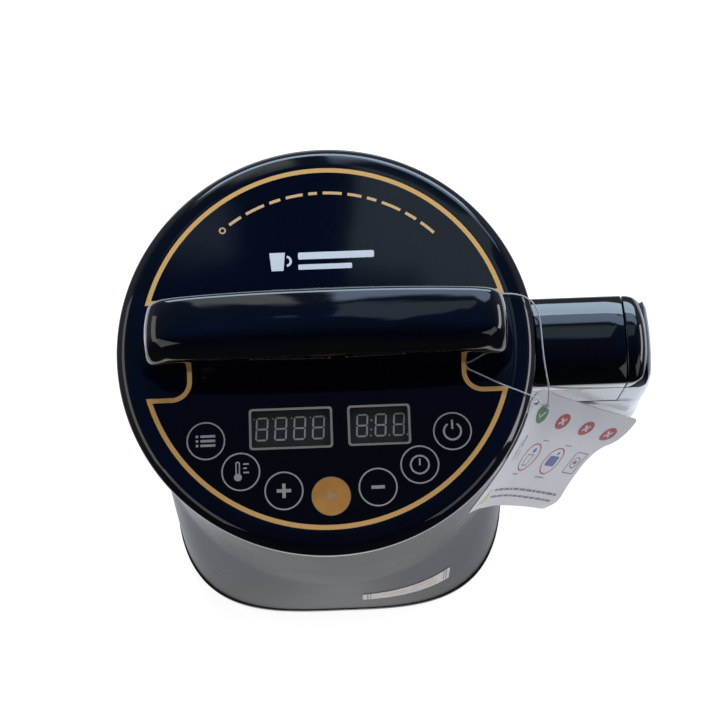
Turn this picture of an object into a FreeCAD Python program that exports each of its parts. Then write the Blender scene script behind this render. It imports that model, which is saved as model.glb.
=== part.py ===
import FreeCAD, Part
import math
import os

# Countertop heating and stirring jug machine: a steel jug with a side handle,
# and a lift-off machine head that carries the motor, blade and control panel.
# Millimetres, +Z up. Everything below is laid out about the jug's own axis; the
# export then shifts the whole model by SHIFT_X so that the origin is the centre
# of the footprint on the table plane. Front (key side) is -Y, jug handle is +X.

V = FreeCAD.Vector
Z = V(0, 0, 1)

# ---- driving dimensions -------------------------------------------------
ZT = 208.0            # height of the control panel surface above the table
R_HEAD = 80.0         # outer radius of the machine head
R_PANEL = 70.8        # radius of the control panel plate
PANEL_T = 1.2         # panel plate thickness
NOTCH_X, NOTCH_Y = 52.7, 18.7   # panel notch round each carry handle post
R_KEYS = 58.25        # keys sit on this circle
KEY_STEP = 17.45      # degrees between keys
KEY_TURN = 0.23       # the row of keys is turned by this much
R_KEY = 7.30          # key cap radius
KEY_TRAVEL = 0.5
BASE_HALF = 79.6      # half width of the squircle base
SHELL_BASE, SHELL_TOP = 79.2, 77.0   # half widths of the steel housing
SHELL_T = 0.8
SHELL_Z0, SHELL_Z1 = 9.0, 193.0
R_POT = 69.0          # inner radius of the inner pot
POT_FLOOR = 24.0      # inner floor height of the pot
BAR_W = 12.5          # half width of the carry handle bar at mid span
BAR_TOP = 36.5        # bar height above the panel
BAR_CLEAR = 22.6      # finger clearance under the bar
LUG_Y = 17.5          # half width of the connector lug and jug handle
LUG_X0, LUG_X1 = 80.3, 114.0
SEAT_Z = 169.4        # top of the jug handle's connector seat
X_MAX = 129.0         # furthest point of the jug handle
SHIFT_X = -(X_MAX - R_HEAD) / 2.0

OUT = "parts"
os.makedirs(OUT, exist_ok=True)


def save(name, *shapes):
    solids = []
    for s in shapes:
        solids += s.Solids
    shape = solids[0] if len(solids) == 1 else Part.makeCompound(solids)
    shape = shape.copy()
    shape.translate(V(SHIFT_X, 0, 0))
    for s in shape.Solids:
        if not s.isValid() or s.Volume <= 0:
            print("WARNING", name, "has a bad solid")
    print("%-22s solids %2d volume %10.1f" % (name, len(shape.Solids), shape.Volume))
    shape.exportStep(os.path.join(OUT, name + ".step"))


def loop(pts, to3d):
    """Closed wire through (u, v) or (u, v, radius) corners, each radius an arc."""
    n = len(pts)
    P = [(float(p[0]), float(p[1])) for p in pts]
    R = [float(p[2]) if len(p) > 2 else 0.0 for p in pts]
    a_in, a_out, mids = [], [], []
    for i in range(n):
        p, a, b = P[i], P[i - 1], P[(i + 1) % n]
        r = R[i]
        if r <= 0:
            a_in.append(p); a_out.append(p); mids.append(None)
            continue
        u = (a[0] - p[0], a[1] - p[1]); w = (b[0] - p[0], b[1] - p[1])
        lu, lw = math.hypot(*u), math.hypot(*w)
        u = (u[0] / lu, u[1] / lu); w = (w[0] / lw, w[1] / lw)
        half = math.acos(max(-1, min(1, u[0] * w[0] + u[1] * w[1]))) / 2
        t = min(r / math.tan(half), lu * 0.499, lw * 0.499)
        r = t * math.tan(half)
        bis = (u[0] + w[0], u[1] + w[1]); lb = math.hypot(*bis)
        c = (p[0] + bis[0] / lb * r / math.sin(half), p[1] + bis[1] / lb * r / math.sin(half))
        d = (p[0] - c[0], p[1] - c[1]); ld = math.hypot(*d)
        a_in.append((p[0] + u[0] * t, p[1] + u[1] * t))
        a_out.append((p[0] + w[0] * t, p[1] + w[1] * t))
        mids.append((c[0] + d[0] / ld * r, c[1] + d[1] / ld * r))
    edges = []
    for i in range(n):
        if mids[i] is not None:
            edges.append(Part.Arc(to3d(*a_in[i]), to3d(*mids[i]), to3d(*a_out[i])).toShape())
        s, e = to3d(*a_out[i]), to3d(*a_in[(i + 1) % n])
        if (s - e).Length > 1e-6:
            edges.append(Part.LineSegment(s, e).toShape())
    return Part.Wire(Part.__sortEdges__(edges))


def xz(u, v):
    return V(u, 0, v)


def rev(pts):
    return Part.Face(loop(pts, xz)).revolve(V(0, 0, 0), Z, 360)


def ext_xy(pts, z0, z1):
    return Part.Face(loop(pts, lambda u, v: V(u, v, z0))).extrude(V(0, 0, z1 - z0))


def ext_xz(pts, y0, y1):
    return Part.Face(loop(pts, lambda u, v: V(u, y0, v))).extrude(V(0, y1 - y0, 0))


def ext_yz(pts, x0, x1):
    return Part.Face(loop(pts, lambda u, v: V(x0, u, v))).extrude(V(x1 - x0, 0, 0))


def cyl(r, z0, z1, x=0.0, y=0.0):
    return Part.makeCylinder(r, z1 - z0, V(x, y, z0))


def tube(r1, r0, z0, z1, x=0.0, y=0.0):
    return cyl(r1, z0, z1, x, y).cut(cyl(r0, z0 - 1, z1 + 1, x, y))


def box(x0, x1, y0, y1, z0, z1):
    return Part.makeBox(x1 - x0, y1 - y0, z1 - z0, V(x0, y0, z0))


def rbox(x0, x1, y0, y1, z0, z1, r):
    return ext_xy([(x0, y0, r), (x1, y0, r), (x1, y1, r), (x0, y1, r)], z0, z1)


def fillet(shape, radii, pick):
    """Rounds the picked edges, trying smaller radii if a larger one fails."""
    edges = [e for e in shape.Edges if pick(e)]
    for r in radii:
        try:
            s = shape.makeFillet(r, edges)
            if s.isValid() and s.Volume > 0.5 * shape.Volume and s.Solids:
                return s
        except Exception:
            pass
    print("WARNING fillet skipped on", len(edges), "edges")
    return shape


# ---- the squircle-to-round steel housing --------------------------------
def exponent(z):
    return 2.0 + 1.5 * max(0.0, 1.0 - z / 100.0) ** 1.2


def half_width(z):
    return SHELL_BASE - (SHELL_BASE - SHELL_TOP) * (z - SHELL_Z0) / (SHELL_Z1 - SHELL_Z0)


def squircle(a, n, z, count=48):
    pts = []
    for i in range(count):
        t = 2 * math.pi * i / count
        c, s = math.cos(t), math.sin(t)
        r = a / (abs(c) ** n + abs(s) ** n) ** (1.0 / n)
        pts.append(V(r * c, r * s, z))
    curve = Part.BSplineCurve()
    curve.interpolate(Points=pts, PeriodicFlag=True)
    return Part.Wire([curve.toShape()])


def housing(offset, z0, z1, levels=9):
    wires = []
    for i in range(levels):
        z = z0 + (z1 - z0) * i / (levels - 1)
        wires.append(squircle(half_width(z) + offset, exponent(z), z))
    return Part.makeLoft(wires, True, False)


def prism_squircle(a, n, z0, z1):
    return Part.Face(squircle(a, n, z0)).extrude(V(0, 0, z1 - z0))


# ================= jug (root body) =======================================
FEET = [(50, 50), (-50, 50), (-50, -50), (50, -50)]
save("rubber_feet", *[
    Part.Face(loop([(0, 0), (6.4, 0, 0.8), (7.0, 4.0), (0, 4.0)], xz)).revolve(V(0, 0, 0), Z, 360).translated(V(x, y, 0))
    for x, y in FEET])

nb = exponent(5.0)
base_cover = prism_squircle(BASE_HALF, nb, 2.5, 9.0)
base_cover = fillet(base_cover, (1.2, 0.8), lambda e: abs(e.BoundBox.ZMax - 2.5) < 1e-3)
base_cover = base_cover.cut(prism_squircle(BASE_HALF - 2.6, nb, 5.0, 20.0))
BOSS = [(70, 0), (0, 70), (-70, 0), (0, -70)]
for x, y in BOSS:
    base_cover = base_cover.fuse(cyl(4.5, 4.5, 9.0, x, y))
for x, y in BOSS:
    base_cover = base_cover.cut(cyl(1.7, 0, 20, x, y)).cut(cyl(3.4, 0, 5.0, x, y))
for x, y in FEET:
    base_cover = base_cover.cut(cyl(7.1, 0, 4.0, x, y))
for i in range(-4, 5):        # cooling slots in the floor
    base_cover = base_cover.cut(rbox(-16, 16, i * 6 - 1.2, i * 6 + 1.2, 0, 8, 1.1))
save("base_cover", base_cover)

outer_shell = housing(0.0, SHELL_Z0, SHELL_Z1).cut(housing(-SHELL_T, SHELL_Z0, SHELL_Z1))
flange = prism_squircle(half_width(SHELL_Z0) - 0.3, exponent(SHELL_Z0), SHELL_Z0, SHELL_Z0 + 0.9).cut(
    prism_squircle(64.5, exponent(SHELL_Z0), SHELL_Z0 - 1, SHELL_Z0 + 3))
outer_shell = outer_shell.fuse(flange)
for x, y in BOSS:
    outer_shell = outer_shell.cut(cyl(1.45, 0, 20, x, y))
save("outer_shell", outer_shell)

pot = rev([(0, POT_FLOOR - 0.8), (R_POT + 0.8, POT_FLOOR - 0.8, 11.8), (R_POT + 0.8, 193.3, 0.6), (76.6, 193.3),
           (76.6, 194.1), (R_POT, 194.1, 1.4), (R_POT, POT_FLOOR, 11.0), (0, POT_FLOOR)])
bead = Part.makeTorus(76.9, 1.1, V(0, 0, 194.1), Z)
pot = pot.fuse(bead)
for z, hw in ((78.0, 9.0), (146.0, 14.0)):      # low and high fill marks pressed into the wall
    mark = tube(R_POT + 0.4, R_POT - 0.45, z - 0.5, z + 0.5).common(box(-hw, hw, 40, 80, z - 1, z + 1))
    pot = pot.fuse(mark)
save("inner_pot", pot)

save("heater_plate", rev([(0, 17.4), (58, 17.4, 1), (58, 23.2, 1), (0, 23.2)]))

ring = Part.makeTorus(42, 3.1, V(0, 0, 14.2), Z, 0, 360, 300)
ring.rotate(V(0, 0, 0), Z, 30)
ends = []
for a in (30.0, 330.0):
    x, y = 42 * math.cos(math.radians(a)), 42 * math.sin(math.radians(a))
    ends.append(Part.makeSphere(3.1, V(x, y, 14.2)))
    ends.append(cyl(1.3, 7.0, 14.2, x, y))
for e in ends:
    ring = ring.fuse(e)
save("heating_element", ring)

save("thermostat", cyl(7.5, 10.5, 17.3).fuse(cyl(9.5, 15.8, 17.3)).fuse(box(-9.5, -4.0, -1.6, 1.6, 8.3, 11.5)).fuse(box(4.0, 9.5, -1.6, 1.6, 8.3, 11.5)))

save("base_screws", *[cyl(3.0, 3.2, 5.0, x, y).fuse(cyl(1.42, 5.0, 13.5, x, y)).cut(
    box(x - 2, x + 2, y - 0.35, y + 0.35, 2.0, 4.1)).cut(box(x - 0.35, x + 0.35, y - 2, y + 2, 2.0, 4.1)) for x, y in BOSS])

# ---- jug handle: a D of silver outer shell and black inner grip ----------
wall_cut = housing(0.35, SHELL_Z0, SHELL_Z1 + 0.0)
grip_gap = [(60, 60, 0), (94, 60, 12), (104.0, 78, 30), (106.6, 112, 60), (105.4, 147.5, 11), (60, 147.5, 0)]
handle_out = [(60, 34.0), (118.6, 34.0, 5), (118.6, 66.0, 14), (126.4, 92.0, 60), (129.6, 128.0, 90), (127.6, 168.0, 60),
              (124.4, 198.6, 2.5), (114.3, 198.6), (114.3, SEAT_Z), (60, SEAT_Z)]
handle_full = ext_xz(handle_out, -LUG_Y, LUG_Y)
handle_full = fillet(handle_full, (4.0, 3.0, 2.0), lambda e: (
    abs(abs(e.BoundBox.YMin) - LUG_Y) < 1e-3 and abs(e.BoundBox.YMax - e.BoundBox.YMin) < 1e-3
    and e.BoundBox.XMax > 117 and e.BoundBox.ZMin > 64 and e.BoundBox.ZMax < 196))
gap_solid = ext_xz(grip_gap, -30, 30)
handle_full = handle_full.cut(gap_solid)
LINER = 5.0
liner_out = [(60, 60 - LINER, 0), (94 + 3.0, 60 - LINER, 14), (104.0 + LINER, 76, 34), (106.6 + LINER, 112, 64),
             (105.4 + LINER, 147.5 + LINER, 14), (60, 147.5 + LINER, 0)]
liner_zone = ext_xz(liner_out, -30, 30).cut(gap_solid)
inner_grip = handle_full.common(liner_zone).cut(wall_cut).cut(box(95.9, 130, -13.6, 13.6, 30, 58.0))
# hollow core of the outer shell
core_out = [(79, 37.0), (96.0, 37.0), (96.0, 56.0), (79, 56.0)]
outer_handle = handle_full.cut(ext_xz(liner_out, -30, 30)).cut(wall_cut)
grip_core = [(112.5, 80, 4), (118.5, 80, 4), (124.0, 98, 40), (126.4, 128, 60), (124.4, 164, 20), (117.0, 164, 4),
             (117.0, 140, 4), (113.8, 110, 40)]
arm_core = [(60, 155.4), (112.0, 155.4, 2), (112.0, 166.6, 2), (60, 166.6)]
arm2_core = [(60, 37.0), (94.0, 37.0, 2), (94.0, 52.6, 2), (60, 52.6)]
tower_core = [(116.6, 166.0), (122.6, 166.0), (121.4, 196.2), (116.6, 196.2)]
for c in (grip_core, arm_core, arm2_core):
    outer_handle = outer_handle.cut(ext_xz(c, -LUG_Y + 2.4, LUG_Y - 2.4))
# the black end cap sits in a step at the top of the tower
CAP = [(114.3, 192.0), (122.6, 192.0), (122.6, 220.0), (114.3, 220.0)]
outer_handle = outer_handle.cut(ext_xz(CAP, -LUG_Y - 1.0, LUG_Y + 1.0))
# seat pocket for the connector socket, recess for the inlet, screw holes
outer_handle = outer_handle.cut(rbox(87.9, 108.1, -11.1, 11.1, 150, 180, 1.6))
outer_handle = outer_handle.cut(box(95.9, 130, -13.6, 13.6, 38.1, 59.0).common(box(95.9, 130, -13.6, 13.6, 38.1, 57.9)))
SCREW_X = 85.0
for y in (-6.0, 6.0):
    outer_handle = outer_handle.cut(cyl(1.8, 30, 38.0, SCREW_X, y)).cut(cyl(3.4, 30, 35.2, SCREW_X, y)).cut(cyl(1.8, 150, 156, SCREW_X, y))
    inner_grip = inner_grip.cut(cyl(1.8, 146, 156, SCREW_X, y)).cut(cyl(3.4, 146, 149.2, SCREW_X, y))
save("handle_outer_shell", outer_handle)
save("handle_inner_grip", inner_grip)


def crown(y_half, z0, z_side, z_top, x0, x1):
    """Black cover section: vertical sides, crowned top, along X."""
    pts = [V(x0, -y_half, z0), V(x0, y_half, z0), V(x0, y_half, z_side), V(x0, 0, z_top), V(x0, -y_half, z_side)]
    edges = [Part.LineSegment(pts[0], pts[1]).toShape(), Part.LineSegment(pts[1], pts[2]).toShape(),
             Part.Arc(pts[2], pts[3], pts[4]).toShape(), Part.LineSegment(pts[4], pts[0]).toShape()]
    return Part.Face(Part.Wire(edges)).extrude(V(x1 - x0, 0, 0))


Z_COVER0 = 192.1
cap = crown(LUG_Y - 0.1, Z_COVER0, 199.6, 205.4, 114.4, 122.5)
cap = cap.common(ext_xy([(100, -17.4, 0), (122.5, -17.4, 7.0), (122.5, 17.4, 7.0), (100, 17.4, 0)], 180, 220))
cap = cap.common(ext_xz([(100, 190), (122.5, 190), (122.5, 205.4, 5.0), (100, 205.4)], -20, 20))
save("handle_top_cap", cap)

brk_u = box(60, 92.0, -9, 9, 156.0, 166.0).cut(housing(0.0, SHELL_Z0, SHELL_Z1)).cut(box(60, 93, -20, 20, 166, 200))
brk_l = box(60, 92.0, -9, 9, 38.2, 52.0).cut(housing(0.0, SHELL_Z0, SHELL_Z1))
brk_u = brk_u.cut(box(87.5, 95, -12, 12, 150, 170))
for y in (-6.0, 6.0):
    brk_u = brk_u.cut(cyl(1.5, 150, 163, SCREW_X, y))
    brk_l = brk_l.cut(cyl(1.5, 30, 50, SCREW_X, y))
save("handle_brackets", brk_u, brk_l)

screws = []
for y in (-6.0, 6.0):
    screws.append(cyl(3.0, 147.6, 149.2, SCREW_X, y).fuse(cyl(1.48, 149.2, 161.0, SCREW_X, y)).cut(box(SCREW_X - 2, SCREW_X + 2, y - .35, y + .35, 147, 148.4)))
    screws.append(cyl(3.0, 33.6 + 0.6, 35.2, SCREW_X, y).fuse(cyl(1.48, 35.2, 48.0, SCREW_X, y)))
save("handle_screws", *screws)

PIN_X, PIN_Y = 98.0, (-7.0, 0.0, 7.0)
sock = rbox(88.0, 108.0, -11.0, 11.0, 155.6, SEAT_Z - 0.2, 1.5)
for y in PIN_Y:
    sock = sock.cut(cyl(2.5, 157.6, 200, PIN_X, y))
save("coupler_socket", sock)

inlet = rbox(0, 27.0, 0, 19.6, 0, 21.4, 1.5)   # built lying, then turned to face +X
inlet = box(96.0, 118.5, -13.5, 13.5, 38.2, 57.8)
cav = ext_yz([(-12.1, 40.0, 1), (12.1, 40.0, 1), (12.1, 51.6, 1), (8.1, 56.2, 1), (-8.1, 56.2, 1), (-12.1, 51.6, 1)], 101.0, 130)
inlet = inlet.cut(cav)
save("inlet_socket", inlet)
pins = [box(101.0, 115.5, y - 2.0, y + 2.0, z - 1.0, z + 1.0) for y, z in ((-7.0, 46.0), (7.0, 46.0), (0.0, 50.2))]
save("inlet_pins", *pins)

lab = housing(0.30, 40.0, 64.0, 5).cut(housing(0.06, 40.0, 64.0, 5))
lab = lab.common(box(10.0, 50.0, -100, -40, 42.5, 60.5))
save("side_label", lab)

# ================= machine head ==========================================
def panel_face(grow, notch_shrink, z):
    """Round plate with a rounded notch at each carry handle post."""
    disc = Part.Face(Part.Wire([Part.makeCircle(R_PANEL + grow, V(0, 0, z))]))
    for s in (-1, 1):
        nx, ny = NOTCH_X + notch_shrink, NOTCH_Y - notch_shrink
        pts = [(s * nx, -ny, 7.0), (s * 90, -ny), (s * 90, ny), (s * nx, ny, 7.0)]
        disc = disc.cut(Part.Face(loop(pts, lambda u, v: V(u, v, z))))
    return disc


KEYS = ["key_function", "key_temperature", "key_plus", "key_start", "key_minus", "key_time", "key_power"]
KEY_POS = []
for i in range(7):
    a = math.radians(-90 + KEY_TURN + (i - 3) * KEY_STEP)
    KEY_POS.append((R_KEYS * math.cos(a), R_KEYS * math.sin(a)))
WIN = [(-28.9, 0.8, -39.1, -25.0), (8.0, 29.9, -38.9, -25.0)]     # two display windows
MOD = [(-29.0, 1.2, -39.05, -25.05), (7.95, 30.45, -38.95, -24.95)]  # 30.2 x 14 and 22.5 x 14 modules

cover = rev([(0, ZT - 3.8), (70.0, ZT - 3.8), (77.0, ZT - 5.6, 2.0), (77.0, 196.0), (79.3, 196.0, 0.7), (80.0, ZT - 3.2, 3.6),
             (76.8, ZT - 0.5, 3.0), (71.5, ZT - 0.02), (0, ZT - 0.02)])
recess = panel_face(0.12, 0.12, ZT - PANEL_T - 0.02).extrude(V(0, 0, 5))
cover = cover.cut(recess)
for x, y in KEY_POS:
    cover = cover.cut(cyl(8.9, ZT - 8, ZT, x, y))
for m in MOD:
    cover = cover.cut(box(m[0] - 0.5, m[1] + 0.5, m[2] - 0.5, m[3] + 0.5, ZT - 8, ZT))
HEAD_SCREWS = [(71.3 * math.cos(math.radians(a)), 71.3 * math.sin(math.radians(a))) for a in (30, 90, 150, 210, 270, 330)]
for x, y in HEAD_SCREWS:
    cover = cover.fuse(cyl(3.0, 197.8, ZT - 3.9, x, y).cut(cyl(1.55, 190, 203.2, x, y)))
BAR_SCREWS = [(s * 62.5, y) for s in (-1, 1) for y in (-5.5, 5.5)]
for x, y in BAR_SCREWS:
    cover = cover.cut(cyl(1.8, ZT - 10, ZT + 5, x, y))
# flat on the right of the rim where the connector lug is joined, with a wire slot
cover = cover.cut(box(76.0, 90, -5, 5, 197.5, 201.0))
save("head_cover", cover)

panel = panel_face(0.0, 0.0, ZT - PANEL_T).extrude(V(0, 0, PANEL_T))
for x, y in KEY_POS:
    panel = panel.cut(cyl(R_KEY + 0.15, ZT - 8, ZT + 1, x, y))
for w in WIN:
    panel = panel.cut(rbox(w[0], w[1], w[2], w[3], ZT - 5, ZT + 1, 0.8))
save("control_panel", panel)
save("display_lenses", *[rbox(w[0] + 0.03, w[1] - 0.03, w[2] + 0.03, w[3] - 0.03, ZT - PANEL_T + 0.2, ZT - 0.02, 0.8) for w in WIN])
for (name, m) in zip(("display_4_digit", "display_3_digit"), MOD):
    save(name, box(m[0], m[1], m[2], m[3], ZT - 8.6, ZT - PANEL_T - 0.15))

for name, (x, y) in zip(KEYS, KEY_POS):
    key = rev([(0, ZT - 1.2), (R_KEY, ZT - 1.2), (R_KEY, ZT - 0.03, 0.25), (0, ZT - 0.03)])
    key = key.fuse(cyl(8.3, ZT - 2.3, ZT - 1.2 - 0.08, 0, 0)).fuse(cyl(5.0, ZT - 2.0, ZT - 1.0)).fuse(cyl(1.9, ZT - 5.4, ZT - 2.2))
    key.translate(V(x, y, 0))
    save(name, key)

# control board: front half-moon, clear of the motor
pcb_face = Part.Face(Part.Wire([Part.makeCircle(67.5, V(0, 0, ZT - 10.2))]))
pcb = pcb_face.extrude(V(0, 0, 1.6)).common(box(-70, 70, -70, -22.5, 190, 210))
for x, y in HEAD_SCREWS:
    pcb = pcb.cut(cyl(4.0, 190, 210, x, y))
save("control_board", pcb)
sw = []
for x, y in KEY_POS:
    sw.append(box(x - 3, x + 3, y - 3, y + 3, ZT - 8.6, ZT - 6.5).fuse(cyl(1.7, ZT - 6.6, ZT - 6.0, x, y)))
save("key_switches", *sw)

# ---- carry handle --------------------------------------------------------
ZB = ZT


def bar_under(x, lift=0.0, half=54.0, power=2.6):
    t = min(1.0, (abs(x) / half) ** power)
    return ZB + lift + BAR_CLEAR * (1 - t) ** (1 / 1.6)


def bar_profile(inset, half_under, lift):
    """XZ outline of the arch: drafted ends, crowned top, arched underside."""
    top = BAR_TOP - inset
    xe, xt = 71.0 - inset, 64.6 - inset
    x_c, z_c = 58.0, ZB + BAR_TOP - 4.6 - inset
    p0 = V(-xe, 0, ZB)
    end_l = V(-xt - 1.6, 0, ZB + 20.0)
    end_r = V(xt + 1.6, 0, ZB + 20.0)
    edges = []
    curve = Part.BSplineCurve()
    pts = [V(-xe, 0, ZB), V(-xe + 2.2, 0, ZB + 10), V(-xt - 1.2, 0, ZB + 20.0), V(-xt + 0.4, 0, ZB + 26.5 - inset * 0.6), V(-60.0 + inset, 0, ZB + 30.6 - inset),
           V(-50, 0, ZB + top - 3.1), V(-30, 0, ZB + top - 1.05), V(0, 0, ZB + top), V(30, 0, ZB + top - 1.05),
           V(50, 0, ZB + top - 3.1), V(60.0 - inset, 0, ZB + 30.6 - inset), V(xt - 0.4, 0, ZB + 26.5 - inset * 0.6), V(xt + 1.2, 0, ZB + 20.0), V(xe - 2.2, 0, ZB + 10), V(xe, 0, ZB)]
    curve.interpolate(pts)
    edges.append(curve.toShape())
    und = Part.BSplineCurve()
    up = []
    for i in range(21):
        a = math.pi * i / 20
        x = half_under * math.cos(a)
        z = ZB + (BAR_CLEAR + lift) * max(0.0, 1 - abs(math.cos(a)) ** 2.6) ** (1 / 1.6) if 0 < i < 20 else ZB
        up.append(V(x, 0, z))
    und.interpolate(up)
    edges.append(Part.LineSegment(V(xe, 0, ZB), V(half_under, 0, ZB)).toShape())
    edges.append(und.toShape())
    edges.append(Part.LineSegment(V(-half_under, 0, ZB), V(-xe, 0, ZB)).toShape())
    return Part.Wire(edges)


def bar_solid(inset, half_under, lift, y):
    w = bar_profile(inset, half_under, lift)
    w.translate(V(0, -y, 0))
    return Part.Face(w).extrude(V(0, 2 * y, 0))


def barrel(y_mid, y_end, x=75.0):
    e = [Part.Arc(V(-x, -y_end, ZB - 5), V(0, -y_mid, ZB - 5), V(x, -y_end, ZB - 5)).toShape(),
         Part.LineSegment(V(x, -y_end, ZB - 5), V(x, y_end, ZB - 5)).toShape(),
         Part.Arc(V(x, y_end, ZB - 5), V(0, y_mid, ZB - 5), V(-x, y_end, ZB - 5)).toShape(),
         Part.LineSegment(V(-x, y_end, ZB - 5), V(-x, -y_end, ZB - 5)).toShape()]
    return Part.Face(Part.Wire(e)).extrude(V(0, 0, 60))


bar = bar_solid(0.0, 54.0, 0.0, 20).common(barrel(BAR_W, BAR_W - 2.0))
bar = fillet(bar, (4.0, 3.0, 2.0), lambda e: (e.BoundBox.ZMax > ZB + 34 and e.BoundBox.ZMin < ZB + 2
             and abs(e.BoundBox.YMax) > 9 and e.BoundBox.XMax - e.BoundBox.XMin > 120))
bar_core = bar_solid(2.8, 56.4, 2.4, 20).common(barrel(BAR_W - 2.6, BAR_W - 4.6))
bar_liner = bar_solid(0.0, 54.0, 0.0, 20).common(barrel(BAR_W - 2.7, BAR_W - 4.7))
liner = bar_liner.common(bar_solid(2.85, 54.0, 0.0, 20)).cut(bar_solid(2.85, 56.4, 2.4, 20))
liner = liner.common(box(-80, 80, -20, 20, ZB + 0.1, ZB + 60))
hollow = bar_core.fuse(bar_solid(2.8, 53.9, -0.1, 20).common(barrel(BAR_W - 2.6, BAR_W - 4.6)))
shell_bar = bar.cut(hollow.common(box(-80, 80, -20, 20, ZB - 1, ZB + 60)))
# screw bosses inside the posts
for x, y in BAR_SCREWS:
    shell_bar = shell_bar.fuse(cyl(3.0, ZB, ZB + 15.5, x, y).cut(cyl(1.3, ZB - 1, ZB + 12, x, y)).common(bar))
    liner = liner.cut(cyl(3.3, ZB - 1, ZB + 30, x, y))
save("carry_handle", shell_bar)
save("carry_handle_liner", liner)

# ---- under shell, carrier, seal -----------------------------------------
NOSE_R = 34.0
under = rev([(9.95, 112.0), (NOSE_R, 112.0, 7.0), (NOSE_R, 179.2, 3.2), (67.4, 179.2, 4.8), (67.4, 194.4, 0.8), (75.3, 194.4),
             (75.3, 195.2), (66.6, 195.2, 1.6), (66.6, 180.0, 4.0), (NOSE_R - 0.8, 180.0, 4.0), (NOSE_R - 0.8, 112.8, 6.2), (9.95, 112.8)])
for x, y in HEAD_SCREWS:
    under = under.cut(cyl(3.15, 190, 196, x, y))
PROBE, LEVEL = (0.0, 50.0), (-50.0, 0.0)
under = under.cut(cyl(3.05, 170, 190, *PROBE)).cut(cyl(2.05, 170, 190, *LEVEL))
save("under_shell", under)

carrier = rev([(10.2, 112.95), (33.05, 112.95, 6.0), (33.05, 180.15, 4.1), (66.45, 180.15, 3.9), (66.45, 195.35, 1.7), (74.6, 195.35),
               (74.6, 197.7), (63.9, 197.7), (63.9, 182.6, 2.0), (30.6, 182.6, 4.0), (30.6, 117.0, 3.5), (10.2, 117.0)])
for x, y in HEAD_SCREWS:
    carrier = carrier.cut(cyl(1.7, 190, 200, x, y))
carrier = carrier.cut(cyl(3.05, 170, 190, *PROBE)).cut(cyl(2.05, 170, 190, *LEVEL))
for a in (45, 135, 225, 315):      # ribs that hold the motor can
    r = box(21.6, 31.0, -1.2, 1.2, 116.9, 178.0)
    r.rotate(V(0, 0, 0), Z, a)
    carrier = carrier.fuse(r)
save("motor_carrier", carrier)

save("seal_ring", rev([(67.45, 183.5), (68.3, 183.5, 0.3), (68.0, 185.2, 0.5), (68.6, 186.5, 0.3), (68.0, 187.8, 0.5), (68.6, 189.1, 0.3),
                       (68.3, 190.5, 0.3), (67.45, 190.5)]))

hs = []
for x, y in HEAD_SCREWS:
    hs.append(cyl(3.0, 194.5, 195.3, x, y).fuse(cyl(1.5, 195.3, 203.0, x, y)))
for x, y in BAR_SCREWS:
    hs.append(cyl(3.0, ZT - 6.0, ZT - 3.85, x, y).fuse(cyl(1.25, ZT - 3.85, ZT + 10.5, x, y)))
save("head_screws", *hs)

# ---- motor ---------------------------------------------------------------
can = rev([(5.2, 117.1), (21.4, 117.1, 2.0), (21.4, 179.0), (20.2, 179.0), (20.2, 118.4, 1.0), (5.2, 118.4)])
for a in (0, 90, 180, 270):
    s = box(17.0, 25.0, -2.5, 2.5, 160, 172)
    s.rotate(V(0, 0, 0), Z, a)
    can = can.cut(s)
save("motor_can", can)
end_cap = rev([(5.2, 179.05), (21.4, 179.05), (21.4, 183.0, 1.5), (9.0, 183.0), (9.0, 187.0, 0.8), (5.2, 187.0)])
for sy in (-1, 1):
    end_cap = end_cap.fuse(box(-3.0, 3.0, min(sy * 12, sy * 18), max(sy * 12, sy * 18), 182.5, 186.0))
save("motor_end_cap", end_cap)
mag = tube(20.15, 15.6, 126, 172)
m1 = mag.common(box(-25, 25, 5.5, 25, 120, 180)); m2 = mag.common(box(-25, 25, -25, -5.5, 120, 180))
save("motor_magnets", m1, m2)
save("motor_bearings", *[tube(5.2, 2.55, z0, z0 + 4.0) for z0 in (117.6, 181.0)])
core = cyl(15.0, 130, 168)
for i in range(5):
    s = box(5.5, 16.0, -0.9, 0.9, 129, 169).fuse(cyl(3.6, 129, 169, 10.3, 0))
    s.rotate(V(0, 0, 0), Z, i * 72)
    core = core.cut(s)
arm = core.fuse(tube(8.0, 2.5, 125.5, 130)).fuse(tube(8.0, 2.5, 168, 172.5)).fuse(tube(6.0, 2.5, 172.4, 178.5)).cut(cyl(2.5, 120, 180))
save("armature", arm)
save("motor_shaft", cyl(2.48, 105.5, 189.0))
# jaw coupling joins the motor shaft and the blade shaft inside the shaft tube
cpl = cyl(6.4, 97.0, 112.0)
cpl = cpl.cut(cyl(2.48, 105.5, 120)).cut(cyl(3.98, 90, 104.0)).cut(tube(8, 5.2, 103.9, 105.4))
save("drive_coupling", cpl)
save("blade_shaft", rev([(0, 40.0), (2.38, 40.0, 0.5), (2.38, 50.05), (3.96, 50.05), (3.96, 104.0, 0.4), (0, 104.0)]))
hub = cyl(6.0, 47.1, 50.0)
blades = hub
for i in range(4):
    a = i * 90
    up = 1 if i % 2 == 0 else -1
    w = Part.Face(loop([(4.0, 0.0), (12.0, 0.0), (20.5, 5.4 * up), (20.5, 5.4 * up + 1.1), (11.6, 1.1), (4.0, 1.1)], lambda u, v: V(u, -3.6, 48.0 + v))).extrude(V(0, 7.2, 0))
    w = w.common(ext_xy([(2, -3.6), (20.6, -3.6), (20.6, -0.6), (15.0, 3.6), (2, 3.6)], 30, 70))
    w.rotate(V(0, 0, 0), Z, a)
    blades = blades.fuse(w)
blades = blades.cut(cyl(2.42, 30, 70)).cut(cyl(3.98, 50.0, 70))
save("blade", blades)
nut = ext_xy([(5.0 * math.cos(math.radians(a)), 5.0 * math.sin(math.radians(a))) for a in range(0, 360, 60)], 42.8, 47.05).cut(cyl(2.42, 30, 60))
save("blade_nut", nut)

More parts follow.
